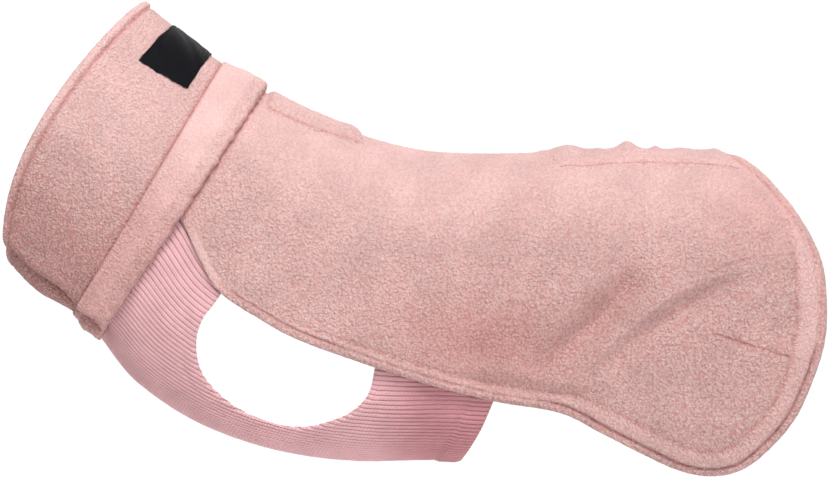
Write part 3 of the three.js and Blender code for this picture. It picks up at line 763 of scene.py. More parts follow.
def knit_group():
    """Knit loops in rows: each wale is a column of small V shapes. Reads the flat cloth's place."""
    if "knit_loops" in bpy.data.node_groups:
        return bpy.data.node_groups["knit_loops"]
    group, n, inp, out = new_group("knit_loops", [
        ("UV", "NodeSocketVector", None),
        ("Wale", "NodeSocketFloat", 0.0014),
        ("Course", "NodeSocketFloat", 0.0011),
    ], [("Height", "NodeSocketFloat"), ("Fluff", "NodeSocketFloat")])
    split = n.add("ShaderNodeSeparateXYZ")
    n.feed(split.inputs[0], inp["UV"])
    across = n.maths("FRACT", n.maths("DIVIDE", split.outputs["X"], inp["Wale"]))
    slant = n.maths("ABSOLUTE", n.maths("SUBTRACT", across, 0.5))
    row = n.maths("ADD", n.maths("DIVIDE", split.outputs["Y"], inp["Course"]), slant)
    wave = n.maths("ABSOLUTE", n.maths("SINE", n.maths("MULTIPLY", row, math.pi)))
    yarn = n.maths("SUBTRACT", 1.0, n.maths("POWER", n.maths("MULTIPLY", slant, 2.0), 2.5))
    n.feed(out["Height"], n.maths("MULTIPLY", n.maths("POWER", wave, 0.6), yarn))
    n.feed(out["Fluff"], n.noise(inp["UV"], 1500.0, 3.0)["Fac"])
    return group


def new_material(name):
    """A material, short ways to its nodes, and its shader."""
    material = bpy.data.materials.new(name)
    material.use_nodes = True
    return material, Nodes(material.node_tree), material.node_tree.nodes["Principled BSDF"]


def place_group(n, group, **values):
    """Places a node group and feeds it."""
    return n.fill(n.add("ShaderNodeGroup", node_tree=group), **values)


def fleece_material():
    """Pink fleece. The point value 'pile' says how much of the nubby pile a place shows; 'crease' and the
    darts' and hem's lines say where painted shade darkens it.
    """
    name = "pink_fleece"
    if name in bpy.data.materials:
        return bpy.data.materials[name]
    look = bpy.context.scene.pullover_fleece
    material, n, shader = new_material(name)
    nap = place_group(n, nap_group(), Vector=n.place(), Nub_Size=look.nub_size, Pile=n.value("pile"))
    deep = tuple(look.gap_shade_colour)
    # Painted shade: the gaps between the nubs take the darker gap colour.
    colour = n.blend(nap["Gap"], tuple(look.colour), deep)
    # Painted shade: darker along the darts' and hem's stitched grooves, and wherever the 'crease' value is
    # high.
    line = n.maths("MULTIPLY", n.near_zero(n.value("dart"), 1.5, 1.0), n.value("dart_sewn"))
    inner = n.maths("MULTIPLY", n.near_zero(n.value("hem_line"), 2.2, 0.5), n.value("hem_sewn"))
    line = n.maths("MAXIMUM", line, inner)
    shaded = n.maths("MULTIPLY", n.maths("MAXIMUM", n.value("crease"), line), 0.55)
    colour = n.blend(shaded, colour, deep, "MULTIPLY")
    nubs = n.maths("MULTIPLY", nap["Height"], look.nub_height)
    relief = n.maths("SUBTRACT", nubs, n.maths("MULTIPLY", line, 0.0012))
    n.fill(shader,
           Base_Color=n.mottle(colour, n.remap(nap["Patch"], 0.3, 0.7, 0.93, 1.05)),
           Roughness=n.remap(nap["Gap"], 0.0, 1.0, 0.88, 0.98),
           Normal=n.bump(relief, 1.0),
           Sheen_Weight=0.2, Sheen_Roughness=0.5, Sheen_Tint=(1.0, 0.84, 0.82, 1.0),
           Specular_IOR_Level=0.12)
    return material


def knit_material():
    """Pink rib knit: lighter ridges, and valleys darkened with painted shade, with knit loops along the
    ribs.
    """
    name = "pink_rib_knit"
    if name in bpy.data.materials:
        return bpy.data.materials[name]
    look = bpy.context.scene.pullover_knit
    material, n, shader = new_material(name)
    uv = n.add("ShaderNodeUVMap", uv_map="UVMap").outputs["UV"]
    loops = place_group(n, knit_group(), UV=uv, Wale=look.wale, Course=look.course)
    # Painted shade: the valleys between the ribs and the low parts of the loops take the darker valley
    # colour.
    valley = tuple(look.valley_shade_colour)
    colour = n.blend(n.value("ridge"), valley, tuple(look.colour))
    colour = n.blend(n.remap(loops["Height"], 0.0, 0.8, 0.5, 0.0), colour, valley)
    patch = n.noise(n.place(), 60.0, 3.0)["Fac"]
    relief = n.maths("ADD", loops["Height"], n.maths("MULTIPLY", loops["Fluff"], 0.5))
    n.fill(shader,
           Base_Color=n.mottle(colour, n.remap(patch, 0.3, 0.7, 0.94, 1.05)),
           Roughness=n.remap(loops["Height"], 0.0, 1.0, 0.95, 0.8),
           Normal=n.bump(relief, look.loop_height, 0.8),
           Sheen_Weight=0.15, Sheen_Roughness=0.5, Sheen_Tint=(1.0, 0.86, 0.86, 1.0),
           Specular_IOR_Level=0.15)
    return material


def thread_material():
    """Pink sewing thread with its twist."""
    name = "sewing_thread"
    if name in bpy.data.materials:
        return bpy.data.materials[name]
    look = bpy.context.scene.pullover_sewing
    material, n, shader = new_material(name)
    twist = n.noise(n.place(), 3000.0, 1.0)["Fac"]
    dark = tuple(c * 0.72 for c in look.thread_colour)
    n.fill(shader,
           Base_Color=n.blend(twist, dark, tuple(look.thread_colour)),
           Roughness=n.remap(twist, 0.3, 0.7, 0.5, 0.7),
           Normal=n.bump(twist, 0.0001))
    return material


def label_material():
    """Black satin weave, blank."""
    name = "black_satin"
    if name in bpy.data.materials:
        return bpy.data.materials[name]
    material, n, shader = new_material(name)
    uv = n.add("ShaderNodeUVMap", uv_map="UVMap").outputs["UV"]
    split = n.add("ShaderNodeSeparateXYZ")
    n.feed(split.inputs[0], uv)
    warp = n.maths("SINE", n.maths("MULTIPLY", split.outputs["X"], 2 * math.pi / 0.00042))
    weft = n.maths("SINE", n.maths("MULTIPLY", split.outputs["Y"], 2 * math.pi / 0.0006))
    weave = n.maths("MULTIPLY", warp, weft)
    mottle = n.remap(n.maths("ADD", weave, n.noise(uv, 900.0)["Fac"]), -0.6, 1.6)
    n.fill(shader,
           Base_Color=n.blend(mottle, (0.0025, 0.0025, 0.004), (0.009, 0.0095, 0.013)),
           Roughness=n.remap(mottle, 0.0, 1.0, 0.8, 0.6),
           Normal=n.bump(weave, 0.00012, 0.6),
           Specular_IOR_Level=0.12)
    return material


# ---------------------------------------------------------------- sizes and colours a user would change
class PulloverFleece(bpy.types.PropertyGroup):
    colour: FloatVectorProperty(
        name="Pile colour", description="Colour of the tops of the fleece's nubs",
        subtype="COLOR", size=3, min=0, max=1, default=(0.925, 0.675, 0.66))
    # The gap colour is painted shade deep between the nubs.
    gap_shade_colour: FloatVectorProperty(
        name="Gap colour", description="Colour deep between the nubs",
        subtype="COLOR", size=3, min=0, max=1, default=(0.735, 0.37, 0.34))
    nub_size: FloatProperty(
        name="Nub size", description="Distance between the fleece's nubs",
        subtype="DISTANCE", unit="LENGTH", min=0.0005, max=0.01, precision=4, default=0.00155)
    nub_height: FloatProperty(
        name="Nub height", description="How far the nubs stand up",
        subtype="DISTANCE", unit="LENGTH", min=0, max=0.005, precision=4, default=0.0035)
    ruffle: FloatProperty(
        name="Unevenness", description="How uneven the fleece's face is, in millimetres",
        min=0, max=2, default=0.45)


class PulloverKnit(bpy.types.PropertyGroup):
    colour: FloatVectorProperty(
        name="Rib colour", description="Colour of the ribs' ridges",
        subtype="COLOR", size=3, min=0, max=1, default=(0.95, 0.60, 0.625))
    # The valley colour is painted shade between the ribs.
    valley_shade_colour: FloatVectorProperty(
        name="Valley colour", description="Colour between the ribs",
        subtype="COLOR", size=3, min=0, max=1, default=(0.62, 0.29, 0.315))
    relief: FloatProperty(
        name="Rib relief", description="How far a rib stands over the valley beside it, in millimetres",
        min=0, max=2, default=0.8)
    wale: FloatProperty(
        name="Wale", description="Width of one column of loops",
        subtype="DISTANCE", unit="LENGTH", min=0.0003, max=0.01, precision=4, default=0.0014)
    course: FloatProperty(
        name="Course", description="Height of one row of loops",
        subtype="DISTANCE", unit="LENGTH", min=0.0003, max=0.01, precision=4, default=0.0016)
    loop_height: FloatProperty(
        name="Loop height", description="How far the loops stand up",
        subtype="DISTANCE", unit="LENGTH", min=0, max=0.002, precision=5, default=0.0004)


class PulloverSewing(bpy.types.PropertyGroup):
    stitch_length: FloatProperty(
        name="Stitch length", description="Length of one stitch, in millimetres",
        min=0.5, max=10, default=2.3)
    stitch_gap: FloatProperty(
        name="Stitch gap", description="Distance between stitches, in millimetres",
        min=0.1, max=5, default=0.8)
    thread: FloatProperty(
        name="Thread", description="Thickness of the thread, in millimetres", min=0.1, max=2, default=0.42)
    thread_colour: FloatVectorProperty(
        name="Thread colour", description="Colour of the sewing thread",
        subtype="COLOR", size=3, min=0, max=1, default=(0.72, 0.38, 0.36))


class PulloverStudio(bpy.types.PropertyGroup):
    floor_drop: FloatProperty(
        name="Floor", description="How far under the frame's origin the floor lies",
        subtype="DISTANCE", unit="LENGTH", min=0.3, max=2, default=0.5)
    key_power: FloatProperty(
        name="Key light", description="Power of the light above the near side",
        unit="POWER", min=0, max=500, default=44.5)
    fill_power: FloatProperty(
        name="Fill light", description="Power of the light low down on the near side, behind the tail",
        unit="POWER", min=0, max=500, default=14)
    back_power: FloatProperty(
        name="Back light", description="Power of the light above the far side",
        unit="POWER", min=0, max=500, default=30)
    sky: FloatProperty(
        name="Sky", description="Strength of the light from all round", min=0, max=5, default=0.33)


# ---------------------------------------------------------------- operators
def finish_fleece(piece, node, unevenness=1.0):
    """Gives a piece of fleece its uneven face and its material."""
    ruffle(piece, bpy.context.scene.pullover_fleece.ruffle * unevenness)
    finish_piece(piece, fleece_material(), "fleece", node)


class PULLOVER_OT_back_panel(bpy.types.Operator):
    """Makes the fleece back panel with its rolled hems, folds and darts"""
    bl_idname = "pullover.back_panel"
    bl_label = "Back Panel"

    def execute(self, context):
        station, angle = panel_cut()
        rows, half = station.shape
        piece, row, column = cloth_grid("back_panel_cloth", rows - 1, 2 * half - 2)
        across = column - (half - 1)
        s = station[row, np.abs(across)]
        a = angle[row, np.abs(across)] * np.sign(across)
        x, y, z = form_point(s, a).T
        y = np.abs(y)
        to_edge = edge_distance(np.stack([x, y, z], axis=-1), panel_edge())
        free = ease((s - BAND_EDGE - 0.2) / 0.3)
        ridge = mix(0.1, 1.0, ease((x + 95) / 110)) * mix(0.5, 1.0, ease((-z - 30) / 50))
        ridge *= 0.85 + 0.15 * wobble(x / 9 + z / 7, 8)
        reach = hem_reach(x, z)
        at_strap = mix(0.3, 1.0, ease((x + 112) / 22))
        deep = groove_depth(x, z)
        hem = back_hem_height(to_edge, reach, ridge, deep) * free * at_strap
        height = hem.copy()
        dart, groove_shade = self.sew_darts(height, x, y, z, to_edge, reach)
        pucker = wobble((x * 0.9 + z * 0.8) / 1.7, 3)
        height += 0.3 * pucker * (bell(to_edge - reach, 3) + bell(to_edge - HEM_GROOVE, 2)) * free
        height += 0.5 * wobble(x / 16 + z / 23, 11) * wobble(z / 14, 12)
        turned = edge_turn(to_edge, FLEECE + HEM_ROLL)
        place_points(piece, cloth_point(s, a, height - turned))
        # The pile lies flatter in the hem than on the flanks. Along the back it is lowered too, which pales
        # its gaps: a painted highlight on the top, where the light falls.
        in_hem = ease((reach - to_edge) / 3) * ease((to_edge - 3.5) / 3) * free
        pile = 1 - in_hem * mix(0.2, 0.35, ease((x - 218) / 22) * ease((z + 150) / 40))
        pile -= 0.45 * ease((7.5 - to_edge) / 2.5) * ease((-102 - x) / 8) * free
        pile *= mix(0.85, 1.0, ease((x - 10) / 90))
        # Painted shade: 'crease' darkens the hem's groove, the cloth under the band's edge, the folds'
        # troughs, a patch on the rump and the lower flank where the cloth turns under; the hem's and darts'
        # lines darken their stitched grooves.
        set_values(piece, hem_line=to_edge - reach, hem_sewn=ridge * free, dart=dart, dart_sewn=groove_shade,
                   thickness=np.maximum(FLEECE + np.maximum(hem, 0) - 2 * turned, THINNEST),
                   pile=pile * (0.5 + 0.5 * past(a, 30, 50)), crease=np.maximum.reduce([
                       0.5 * deep * bell(to_edge - HEM_GROOVE, 0.9) * free * at_strap,
                       0.9 * bell(np.abs(s - BAND_EDGE) * 28, 2.0),
                       0.25 * np.clip(-fold_lift(s, a) / 8, 0, 1),
                       0.35 * bell(x - 216, 32) * bell(z + 38, 24),
                       0.75 * bell(x - 48, 52) * bell(z + 114 + 0.12 * (x - 48), 24)]))
        give_wall(piece)
        finish_fleece(piece, "back_panel")
        return {"FINISHED"}

    @staticmethod
    def sew_darts(height, x, y, z, to_edge, reach):
        """Adds the darts to the height, and says how far each point lies from one and how strong its
        groove's painted shade is.
        """
        dart = np.full(len(x), 999.0)
        groove_shade = np.zeros(len(x))
        for *bends, width, depth, upward, tight in DARTS:
            line = bent_line(*bends)
            far, share = line_distance(x, z, line)
            order = np.argsort(line[:, 0])
            above = np.sign(z - np.interp(x, line[order, 0], line[order, 1]))
            fade = ease((to_edge - 1) / 3) * ease((y - 12) / 8) * ease((1 - share) / 0.2)
            fade *= mix(0.35, 1.0, ease((to_edge - reach + 1.5) / 4))
            height += fade * (depth * bell(far, width) - 0.8 * depth * bell(far * above + 3.6, 2.6))
            closer = far < np.abs(dart)
            dart = np.where(closer, far * above * upward, dart)
            groove_shade = np.where(closer, fade * tight, groove_shade)
        return dart, groove_shade


def belly_end(angle):
    """The station where the rib knit ends under the belly."""
    return BELLY_END - BELLY_NOTCH * ease(1 - np.abs(math.pi - angle) / NOTCH_SPREAD)


def rib_angles(rows, columns):
    """Angles of the rib knit's grid: ribs run with the hem at the strap and are widest at the sides."""
    wanted = np.linspace(0, 1, columns + 1)
    angles = np.zeros((rows + 1, columns + 1))
    for i in range(rows + 1):
        from_neck = ease((BELLY_END - NECK_START) * i / rows / 1.9)
        side = mix(*RIB_SIDE, from_neck)
        turn = np.linspace(side, 2 * math.pi - side, 241)
        points = form_point(mix(NECK_START, belly_end(turn), i / rows), turn)
        width = mix(1.0, mix(*SIDE_RIB, from_neck), np.abs(turn[1:] - math.pi) / (math.pi - side))
        length = walked(steps_along(points) / width)
        angles[i] = np.interp(wanted, length / length[-1], turn)
    return angles


def cut_region():
    """Side-view outline of what is cut off the rib knit: all above its line under the hem, and armholes."""
    hem = outline_curve(HEM_OUTLINE)
    share = np.linspace(0, 0.72, 41)
    here = hem(share)
    step = hem(share + 0.01) - here
    step /= np.linalg.norm(step, axis=1, keepdims=True)
    line = here + np.stack([-step[:, 1], step[:, 0]], axis=1) * RIB_UNDERLAP
    first, last = ARMHOLE_OUTLINE[0][0], ARMHOLE_OUTLINE[-1][0]
    hole = outline_curve(ARMHOLE_OUTLINE)(np.linspace(0, 1, 81))
    start = np.array([[line[0][0] - 40, line[0][1]]])
    path = np.concatenate([start, line[line[:, 0] < first - 1], hole, line[line[:, 0] > last + 1]])
    ends = np.array([[path[-1][0], 120], [path[0][0], 120]])
    return np.concatenate([path, ends]), hole


def near_side(x, z, scale):
    """Places of the side view, brought back from the wider far side."""
    return [middle + (value - middle) / scale for value, middle in zip((x, z), FAR_SIDE_FROM)]


def inside_region(x, z, path):
    """Which points of the side view lie inside a closed line."""
    inside = np.zeros(x.shape, dtype=bool)
    for (ax, az), (bx, bz) in zip(path, np.roll(path, -1, axis=0)):
        if az == bz:
            continue
        crosses = (az > z) != (bz > z)
        inside ^= crosses & (x < ax + (z - az) / (bz - az) * (bx - ax))
    return inside


class PULLOVER_OT_chest_panel(bpy.types.Operator):
    """Makes the rib-knit chest and belly panel with its armholes and turned hems"""
    bl_idname = "pullover.chest_panel"
    bl_label = "Chest Panel"

    def execute(self, context):
        look = context.scene.pullover_knit
        rows, per_rib = 104, 5
        columns = RIBS_ROUND * per_rib
        piece, row, column = cloth_grid("chest_panel_knit", rows, columns)
        angle = rib_angles(rows, columns)[row, column]
        end = belly_end(angle)
        station = mix(NECK_START, end, row / rows)
        x, y, z = form_point(station, angle).T
        scale = np.where(y > 0, FAR_SIDE_OPEN, 1.0)
        path, hole = cut_region()
        closed = np.concatenate([path, path[:1]])
        near = near_side(x, z, scale)
        distance, share = line_distance(*near, closed)
        signed = np.where(inside_region(*near, path), -distance, distance)
        # Faces whose middle is inside the cut go, and the points on their border move onto its outline.
        corners = corner_points(piece.data).reshape(-1, 4)
        removed = signed[corners].mean(axis=1) < 0
        border = np.intersect1d(corners[removed], corners[~removed])
        at = share[border] * (len(closed) - 1)
        k = np.clip(at.astype(int), 0, len(closed) - 2)
        target = closed[k] + (closed[k + 1] - closed[k]) * (at - k)[:, None]
        target = FAR_SIDE_FROM + (target - FAR_SIDE_FROM) * scale[border][:, None]
        new_station, new_angle = locate(target[:, 0], target[:, 1])
        close = np.hypot(target[:, 0] - x[border], target[:, 1] - z[border]) < BORDER_REACH
        border, new_angle = border[close], new_angle[close]
        station[border] = new_station[close]
        angle[border] = np.where(angle[border] > math.pi, 2 * math.pi - new_angle, new_angle)
        x, _, z = form_point(station, angle).T
        from_hole, _ = line_distance(*near_side(x, z, scale), hole)
        # Ribs: a rounded ridge a rib, with a narrow valley on each side.
        turn = column / per_rib
        ridge = np.abs(np.sin(math.pi * turn)) ** 0.62
        angle = half_turned(angle)
        from_hem = np.abs(angle) - np.interp(station, *HEM_AT(np.linspace(0, 1, 361)))
        to_end = np.abs(smooth_rows(RINGS, end)[:, 2] - smooth_rows(RINGS, station)[:, 2])
        edge = np.minimum(from_hole, to_end)
        level = -mix(FLEECE + 0.8, 0.5, ease((from_hem - 3 * DEGREE) / (11 * DEGREE)))
        level += 0.2 * ease((SELF_HEM - from_hole) / 2.2)
        level -= 0.35 * bell(from_hole - SELF_HEM - 0.2, 0.9)
        end_hem = ease((BELLY_HEM - to_end) / 3)
        level += 0.8 * end_hem
        level -= 0.5 * bell(to_end - BELLY_HEM - 0.2, 1.0)
        turned = edge_turn(edge, RIB_KNIT + HEM_DOUBLE)
        valley = look.relief * (1 - ridge)
        height = level - valley * (1 + 0.5 * end_hem) - turned
        height += 0.25 * wobble(x / 5 + z / 9, 21) * wobble(z / 6 - x / 11, 22)
        place_points(piece, cloth_point(station, angle, height))
        set_uv(piece, turn * KNIT_FLAT[0], row / rows * KNIT_FLAT[1])
        wall = RIB_KNIT + HEM_DOUBLE * ease((SELF_HEM - edge) / 2.2) - valley * 0.8 - 2 * turned
        # Painted shade: the ribs' colour turns to the valley colour towards the rear, in the shade under the
        # back's hem; in the belly hem the valleys are less dark.
        ridge = 1 - (1 - ridge) * mix(0.75, 1.0, end_hem) - 0.95 * ease((x + 25) / 50)
        set_values(piece, thickness=np.maximum(wall, THINNEST), ridge=ridge)
        delete_faces(piece, removed)
        give_wall(piece)
        finish_piece(piece, knit_material(), "rib_knit", "chest_panel")
        return {"FINISHED"}


class PULLOVER_OT_collar(bpy.types.Operator):
    """Makes the stand-up collar with its turned rim"""
    bl_idname = "pullover.collar"
    bl_label = "Collar"

    def execute(self, context):
        stations = rim_station(RIM_STEPS[::-1])
        stations = np.concatenate([stations, np.linspace(stations[-1], COLLAR_END, 36)[1:]])
        columns = 190
        piece, row, column = cloth_grid("collar_cloth", len(stations) - 1, columns)
        s = stations[row]
        a = half_turned((column % columns) / columns * 2 * math.pi)
        distance = s / NECK_SEAM * COLLAR_HEIGHT
        hem = rim_height(distance) * mix(1, 0.35, past(a, 140, 30))
        height = hem + 0.35 * wobble(a * 26, 31) * bell(distance - RIM_HEM_WIDTH - 1, 4)
        height += 0.45 * wobble(a * 5 + s, 32) * ease(distance / 12)
        turned = edge_turn(distance, FLEECE + RIM_ROLL)
        place_points(piece, cloth_point(s, a, height - turned))
        # Painted light: the pile is lower on the upper collar, which pales its gaps, and 'crease' darkens
        # the rim hem's groove, the end under the band, the throat's crease and the lower half, as painted
        # shade.
        set_values(piece, thickness=np.maximum(FLEECE + np.maximum(hem, 0) - 2 * turned, THINNEST),
                   pile=mix(0.6, 1.3, past(a, 70, 60)) * (1 - 0.3 * bell(distance - 2.5, 2.5)),
                   crease=np.maximum.reduce([
                       bell(distance - RIM_HEM_WIDTH - 0.4, 0.8), bell(distance - COLLAR_HEIGHT, 1.6),
                       throat_crease(s, a)[0] * mix(0.3, 1.0, ease((s - 0.9) / 0.6)),
                       0.4 * past(a, 92, 45)]))
        edit(piece, lambda: bpy.ops.mesh.remove_doubles(threshold=2e-6))
        give_wall(piece)
        finish_fleece(piece, "collar")
        return {"FINISHED"}


class PULLOVER_OT_neck_band(bpy.types.Operator):
    """Makes the folded band at the neck: a smooth roll with a rougher rear edge"""
    bl_idname = "pullover.neck_band"
    bl_label = "Neck Band"

    def execute(self, context):
        deselect()
        bpy.ops.mesh.primitive_torus_add(major_segments=230, minor_segments=60, major_radius=1,
                                         minor_radius=0.3)
        piece, at = name_piece("neck_band_cloth")
        ring = np.arctan2(at[:, 1], at[:, 0])
        section = np.arctan2(at[:, 2], 1 - np.hypot(at[:, 0], at[:, 1])) % (2 * math.pi)
        share = (1 - np.cos(section)) / 2
        outside = section <= math.pi
        rise = np.sin(np.clip(section, 0, math.pi))
        low_down = ease((np.abs(ring) - 60 * DEGREE) / (50 * DEGREE))
        full = mix(1.6, BAND_SWELL, ease(share / 0.62))
        dome = full * np.clip(rise / 0.55, 0, 1) ** 0.55
        dome -= 0.8 * bell(share - 0.24, 0.04) * low_down
        dome -= 0.5 * bell(share - 0.66, 0.03) * (0.3 + 0.7 * low_down)
        dome += 0.3 * wobble(ring * 9 + share * 2, 41)
        rough = ease((share - 0.62 - 0.03 * wobble(ring * 12, 45)) / 0.1)
        dome += 0.4 * rough * wobble(ring * 60, 42) + 0.3 * rough * wobble(ring * 97 + share * 9, 43)
        dome *= 1 - mix(0.25, 0.75, ease((share - 0.5) / 0.4)) * past(ring, 162, 12)
        height = np.where(outside, BAND_GAP + dome, BAND_GAP)
        station = mix(NECK_SEAM, BAND_EDGE, share)
        station += 0.035 * rough * wobble(ring * 52, 44) * outside
        place_points(piece, cloth_point(station, ring, height))
        rough = np.maximum(rough, 0.6 * ease((0.26 - share) / 0.1) * low_down)
        pile = mix(mix(0.3, 0.55, low_down), mix(0.5, 0.75, low_down), rough)
        # Painted shade: 'crease' darkens the band along its seam with the collar, under its rear edge, in
        # the throat's crease and lower down.
        crease = np.maximum.reduce([
            bell(share * 34, 1.2), 0.45 * bell((share - 1) * 34, 1.6),
            throat_crease(station, ring)[0], 0.45 * low_down])
        set_values(piece, pile=np.where(outside, pile, 0.8), crease=crease * outside)
        edit(piece, lambda: bpy.ops.mesh.normals_make_consistent(inside=False))
        finish_fleece(piece, "neck_band", 0.8)
        return {"FINISHED"}


def spine_place(share, distance):
    """Station and angle of the panel's points at distances from the spine, for shares of its length."""
    walk = np.linspace(0, 0.5, 60)
    station = np.zeros(len(share))
    angle = np.zeros(len(share))
    for value in np.unique(share):
        length = walked(steps_along(form_point(*cut_at(np.full(60, value), walk))))
        here = share == value
        down = np.interp(np.abs(distance[here]), length, walk)
        station[here], turn = cut_at(np.full(here.sum(), value), down)
        angle[here] = np.sign(distance[here]) * turn
    return station, angle


def spine_share(x):
    """The share of the panel's length at which its spine reaches x."""
    shares = np.linspace(0, 1, 400)
    places = form_point(*cut_at(shares, np.zeros(400)))
    return float(np.interp(x, places[:, 0], shares))


def strip_sway(x, swayed):
    """How much wider than its half width a strip is along the spine: the gathers draw the channel in."""
    return np.interp(x, *CHANNEL_SWAY) if swayed else np.ones(np.shape(x))


def spine_strip(name, span, half_width, thickness, edge_height, slant, end_taper, seed, swayed=False):
    """A strip of fleece along the spine, with turned edges, a stitched groove inside each, and its wall."""
    long = span[1] - span[0]
    rows = int(long / 1.5)
    edge = np.array([0, 0.25, 0.7, 1.3, 1.9, 2.4, 2.9, 3.6, 4.6])
    inner = np.linspace(0, half_width - edge[-1], 14)[:-1]
    half = np.concatenate([inner, half_width - edge[::-1]])
    across = np.concatenate([-half[:0:-1], half])
    piece, row, column = cloth_grid(name, rows, len(across) - 1)
    far = across[column]
    ends = np.minimum(row, rows - row) / rows * long
    share = np.linspace(*map(spine_share, span), rows + 1)[row]
    station, angle = spine_place(share, far * strip_sway(mix(*span, row / rows), swayed))
    station -= slant * (np.abs(far) / half_width) ** 1.5 * ease((row / rows - 0.6) / 0.4)
    side = half_width - np.abs(far)
    to_edge = np.minimum(side, ends / end_taper)
    height = mix(edge_height, thickness, ease((side - STRIP_SEAM) / 5) * ease(ends / end_taper / 4))
    groove = 0.75 * bell(side - STRIP_SEAM, 0.7) * ease(ends / 3)
    height = height - groove + 0.2 * wobble(share * 60 + far / 9, seed)
    sunk = (height + 0.5) * ease(1 - to_edge / 1.5)
    place_points(piece, cloth_point(station, angle, SEAM_GAP + height - sunk))
    # Painted shade: 'crease' darkens the stitched groove inside each edge.
    set_values(piece, thickness=np.maximum(height - sunk, 0.15), pile=np.full(len(far), 0.5),
               crease=0.8 * bell(side - STRIP_SEAM, 0.6) * ease(ends / 3))
    give_wall(piece)
    return piece


class PULLOVER_OT_spine_strips(bpy.types.Operator):
    """Makes the leash placket and the gathered channel along the spine"""
    bl_idname = "pullover.spine_strips"
    bl_label = "Spine Strips"

    def execute(self, context):
        placket = spine_strip("leash_placket_cloth", PLACKET, PLACKET_HALF, PLACKET_THICKNESS,
                              edge_height=1.1, slant=0.12, end_taper=1.0, seed=51)
        finish_fleece(placket, "leash_placket", 0.7)
        channel = spine_strip("spine_channel_cloth", CHANNEL, CHANNEL_HALF, FLEECE,
                              edge_height=0.5, slant=0, end_taper=4.0, seed=52, swayed=True)
        finish_fleece(channel, "spine_channel", 0.7)
        return {"FINISHED"}


class PULLOVER_OT_neck_label(bpy.types.Operator):
    """Makes the blank woven label on the nape of the collar"""
    bl_idname = "pullover.neck_label"
    bl_label = "Neck Label"

    def execute(self, context):
        rows, columns = 44, 60
        piece, row, column = cloth_grid("neck_label_woven", rows, columns)
        u = row / rows
        v = column / columns * 2 - 1
        first = rim_station(LABEL_FROM)
        eighth = (COLLAR_END - first) / 8
        station = mix(*(first + ring * eighth for ring in LABEL_RINGS), u) + 0.008 * wobble(v * 7, 62)
        angle = (v * mix(47.5, 44.5, u) + 0.35 * wobble(u * 11, 63)) * DEGREE
        fold = np.minimum(np.minimum(u, 1 - u) * 30, (1 - np.abs(v)) * 34)
        height = SEAM_GAP + 0.9 - 0.35 * bell(fold - 1.6, 0.7) + 0.35 * wobble(v * 6 + u * 4, 61)
        turned = edge_turn(fold, 0.8)
        place_points(piece, cloth_point(station, angle, height - turned))
        set_uv(piece, v * LABEL_FLAT[0], u * LABEL_FLAT[1])
        set_values(piece, thickness=np.maximum(0.85 - 2 * turned, 0.08))
        give_wall(piece)
        finish_piece(piece, label_material(), "woven_label", "neck_label")
        return {"FINISHED"}


def stitch_row(name, points, look):
    """A row of stitches along a path: one stitch, repeated by an array and bent along the path."""
    curve = bpy.data.curves.new(name + "_path", "CURVE")
    curve.dimensions = "3D"
    spline = curve.splines.new("POLY")
    spline.points.add(len(points) - 1)
    flat = np.concatenate([points * MM, np.ones((len(points), 1))], axis=1)
    spline.points.foreach_set("co", flat.astype(np.float32).ravel())
    path = bpy.data.objects.new(name + "_path", curve)
    bpy.context.collection.objects.link(path)
    deselect()
    bpy.ops.mesh.primitive_uv_sphere_add(segments=6, ring_count=5, radius=0.5)
    piece, _ = name_piece(name)
    size = [measure * MM for measure in (look.stitch_length, look.thread, look.thread)]
    edit(piece,
         lambda: bpy.ops.transform.rotate(value=math.pi / 2, orient_axis="Y", center_override=(0, 0, 0)),
         lambda: bpy.ops.transform.resize(value=size))
    pitch = look.stitch_length + look.stitch_gap
    array = piece.modifiers.new("row", "ARRAY")
    array.use_relative_offset = False
    array.use_constant_offset = True
    array.constant_offset_displace = (pitch * MM, 0, 0)
    array.count = max(1, int(steps_along(points).sum() / pitch))
    bend = piece.modifiers.new("bend", "CURVE")
    bend.object = path
    pick(piece)
    bpy.ops.object.modifier_apply(modifier=array.name)
    bpy.ops.object.modifier_apply(modifier=bend.name)
    bpy.data.objects.remove(path)
    return piece


def sew(name, paths):
    """Makes one piece of the rows of stitches along these paths."""
    rows = [stitch_row(name, path, bpy.context.scene.pullover_sewing) for path in paths]
    deselect()
    for row in rows:
        row.select_set(True)
    bpy.context.view_layer.objects.active = rows[0]
    if len(rows) > 1:
        bpy.ops.object.join()
    rows[0].name = name
    finish_piece(rows[0], thread_material(), "fleece")


def inside_line(walk, is_hem):
    """Where the outer row of stitches runs inside one edge of the panel, by shares along that edge."""
    steps = np.linspace(0, 1, 60)
    places = []
    for share in walk:
        across = np.full(60, share)
        points = form_point(*(cut_at(across, steps) if is_hem else cut_at(steps, across)))
        from_end = walked(steps_along(points)[::-1])[::-1]
        at = np.interp(-HEM_GROOVE, -from_end, steps)
        places.append(cut_at(share, at) if is_hem else cut_at(at, share))
    return np.array(places, dtype=float).T


